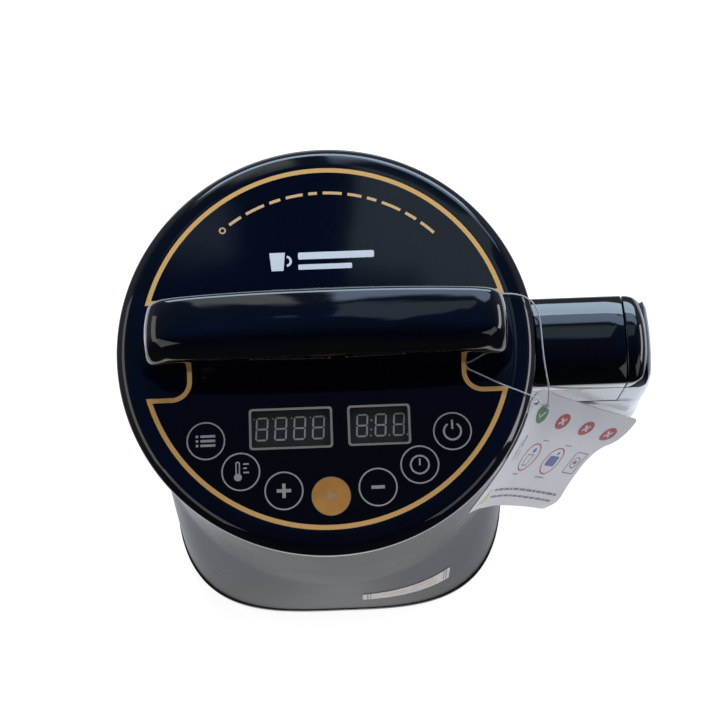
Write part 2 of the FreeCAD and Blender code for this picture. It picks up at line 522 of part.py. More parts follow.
save("shaft_seal", rev([(4.1, 92.0), (8.9, 92.0), (8.9, 96.0), (5.4, 96.0), (5.4, 94.0, 0.4), (4.1, 94.0)]))
save("tube_bush", rev([(4.05, 62.2), (8.9, 62.2, 0.4), (8.9, 76.0, 0.4), (4.05, 76.0)]))
tube_s = rev([(8.95, 62.0), (9.85, 62.0), (9.85, 116.5), (8.95, 116.5)]).fuse(tube(14.0, 9.8, 110.6, 111.9))
save("shaft_tube", tube_s)
GB = 34.5
guard = rev([(9.9, 62.0), (9.9, 64.4), (9.9, 66.0), (13.5, 66.0, 2), (25.8, 62.0, 6.0), (28.0, 58.0, 6), (28.0, GB, 0.5), (26.6, GB, 0.5), (26.6, 57.0, 5.5), (24.6, 60.4, 5.0), (13.0, 62.0, 1)])
for i in range(8):
    s = ext_xz([(20.0, 40.5, 3.0), (32.0, 40.5, 0), (32.0, 56.0, 0), (20.0, 56.0, 3.0)], -4.6, 4.6)
    s = rbox(18.0, 34.0, -4.6, 4.6, 40.5, 56.0, 0.0)
    s.rotate(V(0, 0, 0), Z, i * 45 + 22.5)
    guard = guard.cut(s)
for i in range(6):
    s = rbox(15.5, 22.5, -2.0, 2.0, 58.0, 70.0, 1.9)
    s.rotate(V(0, 0, 0), Z, i * 60)
    guard = guard.cut(s)
save("blade_guard", guard)
x, y = PROBE
save("temperature_probe", rev([(0, 66.0), (3.0, 66.0, 2.6), (3.0, 186.0), (0, 186.0)]).translated(V(x, y, 0)).fuse(cyl(5.0, 182.65, 188.0, x, y)))
x, y = LEVEL
save("level_electrode", rev([(0, 150.0), (2.0, 150.0, 1.6), (2.0, 186.0), (0, 186.0)]).translated(V(x, y, 0)).fuse(cyl(4.0, 182.65, 187.0, x, y)))

# power board over the rear half of the carrier
pb = Part.Face(Part.Wire([Part.makeCircle(60.0, V(0, 0, 189.6))])).extrude(V(0, 0, 1.6)).common(box(-70, 70, 24.5, 70, 180, 200))
pb = pb.cut(cyl(6.0, 180, 200, *PROBE))
save("power_board", pb)
comp = [cyl(5.0, 191.25, 202.5, -34, 34), cyl(4.0, 191.25, 201.5, -22, 40), box(14, 34, 28, 44, 191.25, 203.0), box(-12, 6, 27, 38, 191.25, 202.0),
        box(38, 46, 27, 37, 191.25, 201.0), cyl(3.5, 191.25, 200.0, -42, 30)]
save("board_components", *comp)

# ---- connector lug on the right of the head ------------------------------
rim_cut = cyl(LUG_X0, 150, 230)
lug = box(70, LUG_X1, -LUG_Y, LUG_Y, 170.0, 192.0)
lug = fillet(lug, (1.2, 0.8), lambda e: abs(e.BoundBox.ZMax - 170.0) < 1e-3 and abs(e.BoundBox.YMax - e.BoundBox.YMin) < 1e-3 and e.BoundBox.XMax - e.BoundBox.XMin > 20)
lug = lug.cut(box(82.6, LUG_X1 - 2.0, -LUG_Y + 2.2, LUG_Y - 2.2, 172.4, 200)).cut(rim_cut)
lug = lug.cut(cyl(LUG_X0 + 2.2, 172.4, 200).common(box(60, 100, -LUG_Y + 2.2, LUG_Y - 2.2, 172.4, 200)).cut(cyl(LUG_X0 + 2.0, 160, 210)))
for y in PIN_Y:
    lug = lug.cut(cyl(2.02, 160, 180, PIN_X, y))
save("coupler_housing", lug)
lc = crown(LUG_Y, Z_COVER0, 199.4, 205.4, 70, LUG_X1)
lc = fillet(lc, (1.5, 1.0), lambda e: abs(e.BoundBox.ZMax - 199.4) < 1e-3 and e.BoundBox.XMax - e.BoundBox.XMin > 20)
lc = lc.cut(cyl(R_HEAD + 0.05, 150, 230)).fuse(box(77.6, 83.0, -4.9, 4.9, 197.6, 200.9))
save("coupler_cover", lc)
save("coupler_pins", *[rev([(0, 160.5), (2.0, 160.5, 1.2), (2.0, 176.0), (0, 176.0)]).translated(V(PIN_X, y, 0)).fuse(cyl(3.2, 172.5, 175.0, PIN_X, y)) for y in PIN_Y])

# ---- hang tag and its string --------------------------------------------
# A slightly twisted, bowed card: a ruled surface between its two short edges.
TL, BL = V(81.4, -18.7, ZT - 5.9), V(52.3, -60.9, ZT - 34.7)
TR, BR = V(127.7, -18.6, ZT - 70.8), V(89.6, -49.6, ZT - 103.6)
L_MID, R_MID = V(69.3, -39.8, ZT - 20.6), V(108.0, -32.4, ZT - 87.4)
TAG_T = 0.5
N = (BL - TL).cross(TR - TL).normalize()
face = Part.makeRuledSurface(Part.Arc(TL, L_MID, BL).toShape(), Part.Arc(TR, R_MID, BR).toShape())
tag = face.extrude(N * TAG_T)
tag = tag.Solids[0] if tag.Solids else Part.makeSolid(Part.Shell(tag.Faces))
HOLE = TL + (L_MID - TL) * 0.22 + (TR - TL) * 0.06
tag = tag.cut(Part.makeCylinder(1.8, 12, HOLE - N * 6, N))
save("hang_tag", tag)
print("tag normal", N, "hole", HOLE, "sides", (BL - TL).Length, (TR - TL).Length, (BR - TR).Length)


def route_tube(points, r):
    """Straight runs joined by tangent arcs, swept by a circle."""
    pts = [V(*p) for p in points]
    edges, radii = [], []
    start = pts[0]
    for i in range(1, len(pts) - 1):
        p, a, b = pts[i], pts[i - 1], pts[i + 1]
        u, w = (a - p), (b - p)
        lu, lw = u.Length, w.Length
        u, w = u.normalize(), w.normalize()
        half = math.acos(max(-1, min(1, u.dot(w)))) / 2
        t = 0.45 * min(lu, lw)
        rad = t * math.tan(half)
        radii.append(round(rad, 1))
        bis = (u + w).normalize()
        c = p + bis * (rad / math.sin(half))
        m = c + (p - c).normalize() * rad
        s, e = p + u * t, p + w * t
        if (s - start).Length > 1e-6:
            edges.append(Part.LineSegment(start, s).toShape())
        edges.append(Part.Arc(s, m, e).toShape())
        start = e
    edges.append(Part.LineSegment(start, pts[-1]).toShape())
    wire = Part.Wire(edges)
    d = (pts[1] - pts[0]).normalize()
    prof = Part.Wire([Part.makeCircle(r, pts[0], d)])
    pipe = wire.makePipeShell([prof], True, True)
    print("string radii", radii, "length", round(wire.Length, 1), "volume", round(pipe.Volume, 1), "section x length", round(math.pi * r * r * wire.Length, 1))
    return pipe


STRING_R = 0.3
k = HOLE + N * 1.6
ROUTE = [(k.x, k.y, k.z), (80.6, -24.1, ZT - 4.6), (76.3, -22.9, ZT + 0.5), (64.9, -18.2, ZT + 1.3), (56.2, -13.4, ZT + 1.1), (52.0, -11.4, ZT + 1.1), (51.2, -4.0, ZT + 1.1),
         (51.2, 4.0, ZT + 1.1), (52.4, 11.8, ZT + 1.1), (58.0, 15.0, ZT + 1.2), (64.0, 16.6, ZT + 1.4), (70.0, 17.0, ZT + 1.4), (75.5, 16.0, ZT + 1.2), (79.8, 13.6, ZT - 0.6),
         (81.7, 8.5, ZT - 1.6), (82.0, 2.5, ZT - 1.9), (82.3, -6.8, ZT - 2.6), (83.2, -14.0, ZT - 4.2), (84.2, -19.4, ZT - 6.2), (k.x + 1.2, k.y - 0.6, k.z + 1.4)]
save("tag_string", route_tube(ROUTE, STRING_R))
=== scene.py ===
import bpy
import bmesh
import math
from mathutils import Matrix, Vector, noise


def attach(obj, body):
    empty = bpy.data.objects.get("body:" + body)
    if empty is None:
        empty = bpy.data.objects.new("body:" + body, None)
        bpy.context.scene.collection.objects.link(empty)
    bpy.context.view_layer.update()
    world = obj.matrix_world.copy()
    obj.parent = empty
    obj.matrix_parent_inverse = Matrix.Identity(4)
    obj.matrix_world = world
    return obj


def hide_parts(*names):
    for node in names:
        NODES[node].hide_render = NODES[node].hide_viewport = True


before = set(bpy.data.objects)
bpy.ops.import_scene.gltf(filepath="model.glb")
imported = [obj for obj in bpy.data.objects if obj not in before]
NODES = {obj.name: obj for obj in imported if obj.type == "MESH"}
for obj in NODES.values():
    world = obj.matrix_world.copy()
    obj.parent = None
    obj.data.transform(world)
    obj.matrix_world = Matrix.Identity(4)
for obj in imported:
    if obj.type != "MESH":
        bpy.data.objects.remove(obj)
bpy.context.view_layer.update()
scene = bpy.context.scene

# ---- shared dimensions, millimetres about the jug's own axis -------------
SX = -24.5          # the row's origin is the footprint's centre
ZT = 208.0          # control panel surface
R_PANEL = 70.8
NOTCH_X, NOTCH_Y = 52.7, 18.7
R_KEYS, KEY_STEP, KEY_TURN = 58.25, 17.45, 0.23
NOTCH_REAR = 17.5
LUG_Y = 17.5


def M(x, y, z):
    return Vector(((x + SX) / 1000.0, y / 1000.0, z / 1000.0))


# ---- camera: fitted viewing angle ---------------------------------------
cam_data = bpy.data.cameras.new("camera")
cam = bpy.data.objects.new("camera", cam_data)
scene.collection.objects.link(cam)
scene.camera = cam
cam_data.sensor_width = 36.0
cam_data.lens = 84.47
cam_data.clip_start = 0.02
cam_data.clip_end = 50.0
right = Vector((0.9993208, -0.0357759, -0.0088315))
up = Vector((0.0368489, 0.9684959, 0.2462882))
fwd = Vector((0.0002579, 0.2464463, -0.9691564))
rot = Matrix((right, up, -fwd)).transposed().to_4x4()
cam.matrix_world = Matrix.Translation(M(12.544, -164.020, 826.663)) @ rot


# ---- materials -----------------------------------------------------------
class Mat:
    """A node material: Principled BSDF fed by procedural detail."""

    def __init__(self, name, color, rough=0.4, metal=0.0, coat=0.0, coat_rough=0.03, spec=0.5, alpha=1.0, trans=0.0, ior=1.45, sheen=0.0, sub=0.0):
        self.m = bpy.data.materials.new(name)
        self.m.use_nodes = True
        self.nt = self.m.node_tree
        self.b = self.nt.nodes["Principled BSDF"]
        i = self.b.inputs
        i["Base Color"].default_value = (*color, 1)
        i["Roughness"].default_value = rough
        i["Metallic"].default_value = metal
        i["Coat Weight"].default_value = coat
        i["Coat Roughness"].default_value = coat_rough
        i["Specular IOR Level"].default_value = spec
        i["Alpha"].default_value = alpha
        i["Transmission Weight"].default_value = trans
        i["IOR"].default_value = ior
        i["Sheen Weight"].default_value = sheen
        i["Subsurface Weight"].default_value = sub
        self.color, self.rough = color, rough
        self.height = None
        self.co = self.nt.nodes.new("ShaderNodeTexCoord").outputs["Object"]

    def node(self, kind, **kw):
        n = self.nt.nodes.new(kind)
        for k, v in kw.items():
            setattr(n, k, v)
        return n

    def link(self, a, b):
        self.nt.links.new(a, b)

    def coords(self, scale):
        n = self.node("ShaderNodeMapping")
        n.inputs["Scale"].default_value = scale if isinstance(scale, tuple) else (scale,) * 3
        self.link(self.co, n.inputs["Vector"])
        return n.outputs[0]

    def noise(self, scale, detail=3.0, rough=0.55, dist=0.0):
        n = self.node("ShaderNodeTexNoise")
        n.inputs["Scale"].default_value = 1.0
        n.inputs["Detail"].default_value = detail
        n.inputs["Roughness"].default_value = rough
        n.inputs["Distortion"].default_value = dist
        self.link(self.coords(scale), n.inputs["Vector"])
        return n.outputs["Fac"]

    def ramp(self, fac, a, b, lo=0.0, hi=1.0):
        n = self.node("ShaderNodeMapRange")
        n.inputs["From Min"].default_value = lo
        n.inputs["From Max"].default_value = hi
        n.inputs["To Min"].default_value = a
        n.inputs["To Max"].default_value = b
        self.link(fac, n.inputs["Value"])
        return n.outputs[0]

    def vary_rough(self, fac, a, b, lo=0.3, hi=0.7):
        self.link(self.ramp(fac, a, b, lo, hi), self.b.inputs["Roughness"])
        return self

    def vary_color(self, fac, c1, c2, lo=0.3, hi=0.7):
        n = self.node("ShaderNodeValToRGB")
        n.color_ramp.elements[0].position, n.color_ramp.elements[1].position = lo, hi
        n.color_ramp.elements[0].color = (*c1, 1)
        n.color_ramp.elements[1].color = (*c2, 1)
        self.link(fac, n.inputs["Fac"])
        self.link(n.outputs["Color"], self.b.inputs["Base Color"])
        return self

    def bump(self, fac, strength, distance):
        n = self.node("ShaderNodeBump")
        n.inputs["Strength"].default_value = strength
        n.inputs["Distance"].default_value = distance
        self.link(fac, n.inputs["Height"])
        if self.height is not None:
            self.link(self.height, n.inputs["Normal"])
        self.height = n.outputs[0]
        self.link(self.height, self.b.inputs["Normal"])
        return self


def shade(c, k):
    return tuple(min(1.0, v * k) for v in c)


def gloss(name, color, rough=0.06, coat=1.0, wave=0.35, dust=0.05):
    """Injection moulded high gloss plastic: slight flow waviness, dust and hairline haze."""
    m = Mat(name, color, rough, coat=coat, coat_rough=0.02)
    big = m.noise(55.0, 2.0)
    fine = m.noise(900.0, 4.0)
    m.vary_rough(fine, rough, rough + dust, 0.45, 0.75)
    m.vary_color(big, shade(color, 0.85), shade(color, 1.2))
    m.bump(big, wave, 0.00006)
    m.bump(fine, 0.06, 0.00002)
    return m.m


def moulded(name, color, rough=0.5, grain=1600.0, depth=0.00003, metal=0.0, coat=0.0):
    """Fine spark-eroded mould texture with faint colour variation."""
    m = Mat(name, color, rough, metal, coat=coat, coat_rough=0.15)
    g = m.noise(grain, 3.0)
    big = m.noise(40.0, 3.0)
    m.vary_rough(big, rough - 0.06, rough + 0.07)
    m.vary_color(big, shade(color, 0.88), shade(color, 1.12))
    m.bump(g, 0.35, depth)
    return m.m


def steel(name, color, rough=0.26, lines=(3.0, 3.0, 2600.0), strength=0.25, metal=1.0):
    """Rolled steel with fine brushed lines round the wall and soft smudges."""
    m = Mat(name, color, rough, metal)
    brush = m.noise(lines, 4.0, 0.7)
    smudge = m.noise(28.0, 4.0)
    mix = m.node("ShaderNodeMath", operation="MULTIPLY_ADD")
    m.link(brush, mix.inputs[0])
    mix.inputs[1].default_value = 0.55
    scaled = m.node("ShaderNodeMath", operation="MULTIPLY")
    m.link(smudge, scaled.inputs[0])
    scaled.inputs[1].default_value = 0.45
    m.link(scaled.outputs[0], mix.inputs[2])
    m.vary_rough(mix.outputs[0], rough - 0.04, rough + 0.07, 0.35, 0.65)
    m.vary_color(brush, shade(color, 0.93), shade(color, 1.05), 0.3, 0.7)
    m.bump(brush, strength, 0.00002)
    return m.m


def printed(name, color, rough=0.45, metal=0.0):
    """Screen printed ink: a thin, slightly uneven film."""
    m = Mat(name, color, rough, metal, spec=0.4)
    n = m.noise(2600.0, 2.0)
    m.vary_color(n, shade(color, 0.9), shade(color, 1.08))
    m.vary_rough(n, rough - 0.05, rough + 0.1)
    m.bump(n, 0.1, 0.00001)
    return m.m


BLACK = (0.0022, 0.0040, 0.0105)
MT = {}
MT["head"] = gloss("gloss_black_head", (0.0014, 0.0026, 0.0070), 0.05, coat=0.4, wave=0.25)
MT["panel"] = gloss("gloss_black_panel", (0.0008, 0.0010, 0.0020), 0.045, coat=0.4, wave=0.10)
MT["handle"] = gloss("gloss_black_handle", (0.0012, 0.0024, 0.0068), 0.05, coat=0.5, wave=0.45)
MT["lug_black"] = gloss("gloss_black_lug", (0.0014, 0.0020, 0.0036), 0.05, coat=0.5, wave=0.3)
MT["liner"] = gloss("semi_gloss_liner", (0.004, 0.005, 0.008), 0.16, coat=0.3)
MT["key"] = gloss("gloss_black_key", (0.0010, 0.0012, 0.0022), 0.05, coat=0.4, wave=0.12)
MT["gold_line"] = printed("gold_ink", (0.98, 0.52, 0.165), 0.40, 0.05)
MT["grey_ink"] = printed("grey_ink", (0.47, 0.46, 0.43))
MT["white_ink"] = printed("white_ink", (0.95, 0.95, 0.95))
MT["cream_ink"] = printed("cream_ink", (0.92, 0.56, 0.25))
MT["frame_ink"] = printed("frame_ink", (0.33, 0.31, 0.27))
MT["segment"] = printed("segment_ink", (0.74, 0.74, 0.72))
MT["black_plastic"] = moulded("black_plastic", (0.012, 0.012, 0.013), 0.45)
MT["grip"] = moulded("grip_plastic", (0.012, 0.013, 0.016), 0.42, 1400.0, 0.00005)
MT["rubber"] = moulded("rubber", (0.02, 0.02, 0.02), 0.75, 900.0, 0.00006)
MT["silicone"] = moulded("silicone", (0.62, 0.62, 0.60), 0.42, 500.0, 0.00003)
MT["natural"] = moulded("natural_nylon", (0.62, 0.61, 0.56), 0.45, 700.0, 0.00003)
MT["ceramic"] = moulded("ceramic", (0.78, 0.76, 0.70), 0.35, 600.0, 0.00002)
MT["pcb"] = moulded("solder_mask", (0.012, 0.10, 0.035), 0.3, 2500.0, 0.00001, coat=0.5)
MT["shell"] = steel("brushed_shell", (0.28, 0.283, 0.29), 0.24, strength=0.07)
MT["shell"].node_tree.nodes["Principled BSDF"].inputs["Specular Tint"].default_value = (0.27, 0.275, 0.29, 1)
MT["pot"] = steel("satin_pot", (0.62, 0.62, 0.61), 0.24)
MT["rod"] = steel("ground_steel", (0.60, 0.60, 0.60), 0.2, (400.0, 400.0, 1800.0))
MT["flat_steel"] = steel("plain_steel", (0.50, 0.50, 0.50), 0.3, (900.0, 40.0, 900.0))
MT["aluminium"] = moulded("cast_aluminium", (0.55, 0.56, 0.57), 0.42, 450.0, 0.0001, metal=1.0)
MT["element"] = moulded("element_sheath", (0.22, 0.20, 0.18), 0.45, 600.0, 0.00005, metal=1.0)
MT["brass"] = moulded("nickel_brass", (0.62, 0.56, 0.42), 0.25, 900.0, 0.00001, metal=1.0)
MT["bronze"] = moulded("sintered_bronze", (0.42, 0.27, 0.12), 0.4, 1500.0, 0.00004, metal=1.0)
MT["ferrite"] = moulded("ferrite", (0.045, 0.045, 0.048), 0.6, 1200.0, 0.00004)

m = Mat("copper_windings", (0.45, 0.17, 0.07), 0.35, 1.0)
w = m.noise((300.0, 300.0, 4000.0), 2.0)
m.vary_color(w, (0.30, 0.10, 0.04), (0.60, 0.26, 0.12))
m.bump(w, 0.6, 0.0001)
MT["winding"] = m.m

# silver paint: metal flake under lacquer
m = Mat("silver_paint", (0.30, 0.32, 0.345), 0.30, 0.55, coat=0.35, coat_rough=0.08)
fl = m.noise(7000.0, 1.0)
bg = m.noise(30.0, 3.0)
m.vary_color(fl, (0.25, 0.268, 0.295), (0.35, 0.375, 0.405), 0.35, 0.65)
m.vary_rough(bg, 0.24, 0.36)
m.bump(fl, 0.12, 0.00001)
MT["silver"] = m.m

# gold key: fine noise grain in roughness and bump, broader noise in the tone
m = Mat("gold_key", (0.84, 0.36, 0.08), 0.36, 0.30, coat=0.35, coat_rough=0.12)
sp = m.noise(2400.0, 2.0)
lo = m.noise(160.0, 2.0)
m.vary_color(lo, (0.763, 0.327, 0.069), (0.89, 0.399, 0.093))
m.vary_rough(sp, 0.32, 0.46)
m.bump(sp, 0.15, 0.00002)
MT["gold_key"] = m.m
MT["gold_mark"] = printed("gold_mark", (0.66, 0.44, 0.22), 0.42, 0.3)

# smoked display window, thin and clear
m = Mat("smoked_window", (0.012, 0.012, 0.013), 0.06, coat=0.0, alpha=0.16)
n = m.noise(700.0, 3.0)
m.vary_rough(n, 0.05, 0.12)
m.bump(n, 0.05, 0.00001)
MT["window"] = m.m

# display face: dark resin with the fine dot mesh of its mask
m = Mat("display_face", (0.035, 0.035, 0.035), 0.5)
v = m.node("ShaderNodeTexVoronoi")
v.inputs["Scale"].default_value = 1.0
v.inputs["Randomness"].default_value = 0.15
m.link(m.coords(2300.0), v.inputs["Vector"])
m.vary_color(v.outputs["Distance"], (0.085, 0.084, 0.080), (0.030, 0.030, 0.030), 0.2, 0.6)
m.bump(v.outputs["Distance"], 0.2, 0.00003)
MT["display"] = m.m

# coated card, with a little fibre and handling waviness
m = Mat("coated_card", (0.72, 0.70, 0.75), 0.38, spec=0.5, sub=0.0)
fib = m.noise((900.0, 900.0, 2600.0), 5.0)
wav = m.noise(35.0, 2.0)
m.vary_color(fib, (0.68, 0.66, 0.71), (0.76, 0.74, 0.79))
m.vary_rough(wav, 0.32, 0.5)
m.bump(wav, 0.4, 0.0006)
m.bump(fib, 0.12, 0.00003)
MT["card"] = m.m
MT["red_ink"] = printed("red_ink", (0.44, 0.018, 0.028), 0.4)
MT["green_ink"] = printed("green_ink", (0.025, 0.17, 0.035), 0.4)
MT["blue_ink"] = printed("blue_ink", (0.04, 0.09, 0.34), 0.4)
MT["yellow_ink"] = printed("yellow_ink", (0.62, 0.60, 0.10), 0.4)
MT["text_ink"] = printed("text_ink", (0.20, 0.19, 0.23), 0.45)
MT["pink_ink"] = printed("pink_ink", (0.72, 0.48, 0.48), 0.45)
m = Mat("sticker_stock", (0.60, 0.58, 0.56), 0.4)
n = m.noise(1500.0, 4.0)
m.vary_color(n, (0.52, 0.50, 0.49), (0.66, 0.64, 0.62))
m.bump(n, 0.1, 0.00002)
MT["sticker"] = m.m
m = Mat("clear_nylon", (0.80, 0.82, 0.85), 0.18, trans=0.35, ior=1.5)
n = m.noise((600.0, 600.0, 600.0), 2.0)
m.vary_rough(n, 0.12, 0.3)
m.bump(n, 0.15, 0.00003)
MT["nylon"] = m.m

CAD_MAT = {
    "rubber_feet": "rubber", "base_cover": "black_plastic", "outer_shell": "shell", "inner_pot": "pot", "heater_plate": "aluminium",
    "heating_element": "element", "thermostat": "ceramic", "base_screws": "flat_steel", "handle_outer_shell": "silver",
    "handle_inner_grip": "grip", "handle_top_cap": "lug_black", "handle_brackets": "flat_steel", "handle_screws": "flat_steel",
    "coupler_socket": "black_plastic", "inlet_socket": "black_plastic", "inlet_pins": "brass", "side_label": "sticker",
    "head_cover": "head", "control_panel": "panel", "display_lenses": "window", "display_4_digit": "display", "display_3_digit": "display",
    "key_function": "key", "key_temperature": "key", "key_plus": "key", "key_start": "gold_key", "key_minus": "key", "key_time": "key",
    "key_power": "key", "control_board": "pcb", "key_switches": "black_plastic", "carry_handle": "handle", "carry_handle_liner": "liner",
    "under_shell": "pot", "motor_carrier": "natural", "seal_ring": "silicone", "head_screws": "flat_steel", "motor_can": "flat_steel",
    "motor_end_cap": "black_plastic", "motor_magnets": "ferrite", "motor_bearings": "bronze", "armature": "winding", "motor_shaft": "rod",
    "drive_coupling": "natural", "blade_shaft": "rod", "blade": "rod", "blade_nut": "rod", "shaft_seal": "rubber", "tube_bush": "bronze",
    "shaft_tube": "pot", "blade_guard": "pot", "temperature_probe": "rod", "level_electrode": "rod", "power_board": "pcb",
    "board_components": "black_plastic", "coupler_housing": "silver", "coupler_cover": "lug_black", "coupler_pins": "brass",
    "hang_tag": "card", "tag_string": "nylon",
}
for name, o in NODES.items():
    o.data.materials.clear()
    o.data.materials.append(MT[CAD_MAT[name]])
    if name in ("hang_tag", "tag_string"):
        continue


# ---- mesh helpers --------------------------------------------------------
def finish_mesh(me, material, name, body, sharp=math.radians(32)):
    me.validate()
    bm = bmesh.new()
    bm.from_mesh(me)
    bmesh.ops.remove_doubles(bm, verts=bm.verts, dist=1e-7)
    bmesh.ops.dissolve_degenerate(bm, edges=bm.edges, dist=1e-8)
    bmesh.ops.recalc_face_normals(bm, faces=bm.faces)
    bm.to_mesh(me)
    bm.free()
    me.materials.clear()
    me.materials.append(material)
    me.shade_smooth()
    me.set_sharp_from_angle(angle=sharp)
    ob = bpy.data.objects.new(name, me)
    scene.collection.objects.link(ob)
    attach(ob, body)
    return ob


def from_rings(rings, caps=True, closed=False):
    """Quads between rings of equal length; rings are lists of Vectors (metres)."""
    n = len(rings[0])
    verts = [v for r in rings for v in r]
    faces = []
    k = len(rings)
    for i in range(k if closed else k - 1):
        a, b = i * n, ((i + 1) % k) * n
        for j in range(n):
            j2 = (j + 1) % n
            faces.append((a + j, a + j2, b + j2, b + j))
    if caps and not closed:
        for base, flip in ((0, True), ((k - 1) * n, False)):
            ring = list(range(base, base + n))
            faces.append(tuple(reversed(ring)) if flip else tuple(ring))
    return verts, faces


def mesh_of(name, verts, faces):
    me = bpy.data.meshes.new(name)
    me.from_pydata([tuple(v) for v in verts], [], faces)
    me.update()
    return me


def arc_pts(cx, cy, r, a0, a1, n):
    return [(cx + r * math.cos(math.radians(a0 + (a1 - a0) * i / n)), cy + r * math.sin(math.radians(a0 + (a1 - a0) * i / n))) for i in range(n + 1)]


def rounded(pts, seg=8):
    """Closed polygon (x, y, r) with arc corners, as plain points."""
    out = []
    n = len(pts)
    for i in range(n):
        p, a, b = pts[i], pts[i - 1], pts[(i + 1) % n]
        r = p[2] if len(p) > 2 else 0
        if r <= 0:
            out.append((p[0], p[1]))
            continue
        u = Vector((a[0] - p[0], a[1] - p[1])); w_ = Vector((b[0] - p[0], b[1] - p[1]))
        lu, lw = u.length, w_.length
        u.normalize(); w_.normalize()
        half = math.acos(max(-1, min(1, u.dot(w_)))) / 2
        if half > math.pi / 2 - 1e-3:
            out.append((p[0], p[1]))
            continue
        t = min(r / math.tan(half), lu * 0.499, lw * 0.499)
        r = t * math.tan(half)
        c = Vector((p[0], p[1])) + (u + w_).normalized() * (r / math.sin(half))
        s = Vector((p[0], p[1])) + u * t - c
        e = Vector((p[0], p[1])) + w_ * t - c
        a0 = math.atan2(s.y, s.x); a1 = math.atan2(e.y, e.x)
        d = (a1 - a0 + math.pi) % (2 * math.pi) - math.pi
        for k in range(seg + 1):
            q = a0 + d * k / seg
            out.append((c.x + r * math.cos(q), c.y + r * math.sin(q)))
    return out


def open_rounded(pts, seg=8):
    """Open path (x, z, r): ends kept, inner corners as arcs."""
    full = rounded([(pts[0][0], pts[0][1])] + list(pts[1:-1]) + [(pts[-1][0], pts[-1][1])], seg)
    return full


def resample(pts, n):
    """n + 1 points evenly spaced along an open polyline."""
    P = [Vector(p) for p in pts]
    d = [0.0]
    for i in range(1, len(P)):
        d.append(d[-1] + (P[i] - P[i - 1]).length)
    out, j = [], 0
    for i in range(n + 1):
        s = d[-1] * i / n
        while j < len(P) - 2 and d[j + 1] < s:
            j += 1
        seg = d[j + 1] - d[j]
        t = 0 if seg == 0 else (s - d[j]) / seg
        out.append(P[j].lerp(P[j + 1], min(1, max(0, t))))
    return out


def circle(cx, cy, r, n=72, a0=0.0):
    return [(cx + r * math.cos(a0 + 2 * math.pi * i / n), cy + r * math.sin(a0 + 2 * math.pi * i / n)) for i in range(n)]


def rrect(x0, x1, y0, y1, r=0.0, seg=6):
    return rounded([(x0, y0, r), (x1, y0, r), (x1, y1, r), (x0, y1, r)], seg) if r > 0 else [(x0, y0), (x1, y0), (x1, y1), (x0, y1)]


def offset_loop(pts, d):
    """Closed loop moved sideways by d with mitred corners (positive is to the left)."""
    n = len(pts)
    out = []
    for i in range(n):
        p, a, b = Vector(pts[i]), Vector(pts[i - 1]), Vector(pts[(i + 1) % n])
        e1, e2 = (p - a).normalized(), (b - p).normalized()
        n1, n2 = Vector((-e1.y, e1.x)), Vector((-e2.y, e2.x))
        mvec = n1 + n2
        k = d / max(0.35, mvec.length_squared / 2)
        out.append(tuple(p + mvec * k * 1.0))
    return out


def stroke(pts, width):
    """Open line of that width as one loop."""
    P = [Vector(p) for p in pts]
    left, rgt = [], []
    for i, p in enumerate(P):
        a, b = P[max(0, i - 1)], P[min(len(P) - 1, i + 1)]
        t = (b - a).normalized()
        nrm = Vector((-t.y, t.x)) * width / 2
        left.append(tuple(p + nrm)); rgt.append(tuple(p - nrm))
    return left + rgt[::-1]


def shift(loops, x, y, ang=0.0, k=1.0):
    c, s = math.cos(ang) * k, math.sin(ang) * k
    return [[(x + c * px - s * py, y + s * px + c * py) for px, py in lp] for lp in loops]


def filled(loops, z0, z1, bevel=0.0):
    """Mesh data (mm) of a flat plate: even-odd filled loops, extruded from z0 to z1."""
    cu = bpy.data.curves.new("plate", "CURVE")
    cu.dimensions = "2D"
    cu.fill_mode = "BOTH"
    cu.extrude = (z1 - z0) / 2 - bevel
    if bevel > 0:
        cu.bevel_depth = bevel
        cu.bevel_resolution = 2
        cu.offset = -bevel
    for lp in loops:
        sp_ = cu.splines.new("POLY")
        sp_.points.add(len(lp) - 1)
        for q, pt in zip(sp_.points, lp):
            q.co = (pt[0], pt[1], 0, 1)
        sp_.use_cyclic_u = True
    tmp = bpy.data.objects.new("plate", cu)
    scene.collection.objects.link(tmp)
    bpy.context.view_layer.update()
    dg = bpy.context.evaluated_depsgraph_get()
    me = bpy.data.meshes.new_from_object(tmp.evaluated_get(dg))
    bpy.data.objects.remove(tmp)
    bpy.data.curves.remove(cu)
    for v_ in me.vertices:
        v_.co.z += (z0 + z1) / 2
    return me


def plate(name, loops, z0, z1, material, body, bevel=0.0, warp=None):
    me = filled(loops, z0, z1, bevel)
    for v_ in me.vertices:
        v_.co = warp(v_.co) if warp else M(*v_.co)
    return finish_mesh(me, material, name, body)


def join_meshes(parts):
    """One mesh from several (verts, faces) in metres."""
    V_, F_ = [], []
    for vs, fs in parts:
        k = len(V_)
        V_ += list(vs)
        F_ += [tuple(i + k for i in f) for f in fs]
    return V_, F_


def lathe(profile, n=256, cx=0.0, cy=0.0):
    rings = []
    for i in range(n):
        a = 2 * math.pi * i / n
        rings.append([M(cx + r * math.cos(a), cy + r * math.sin(a), z) for r, z in profile])
    return from_rings(rings, closed=True)


def data_of(me):
    return [v_.co.copy() for v_ in me.vertices], [tuple(p.vertices) for p in me.polygons]


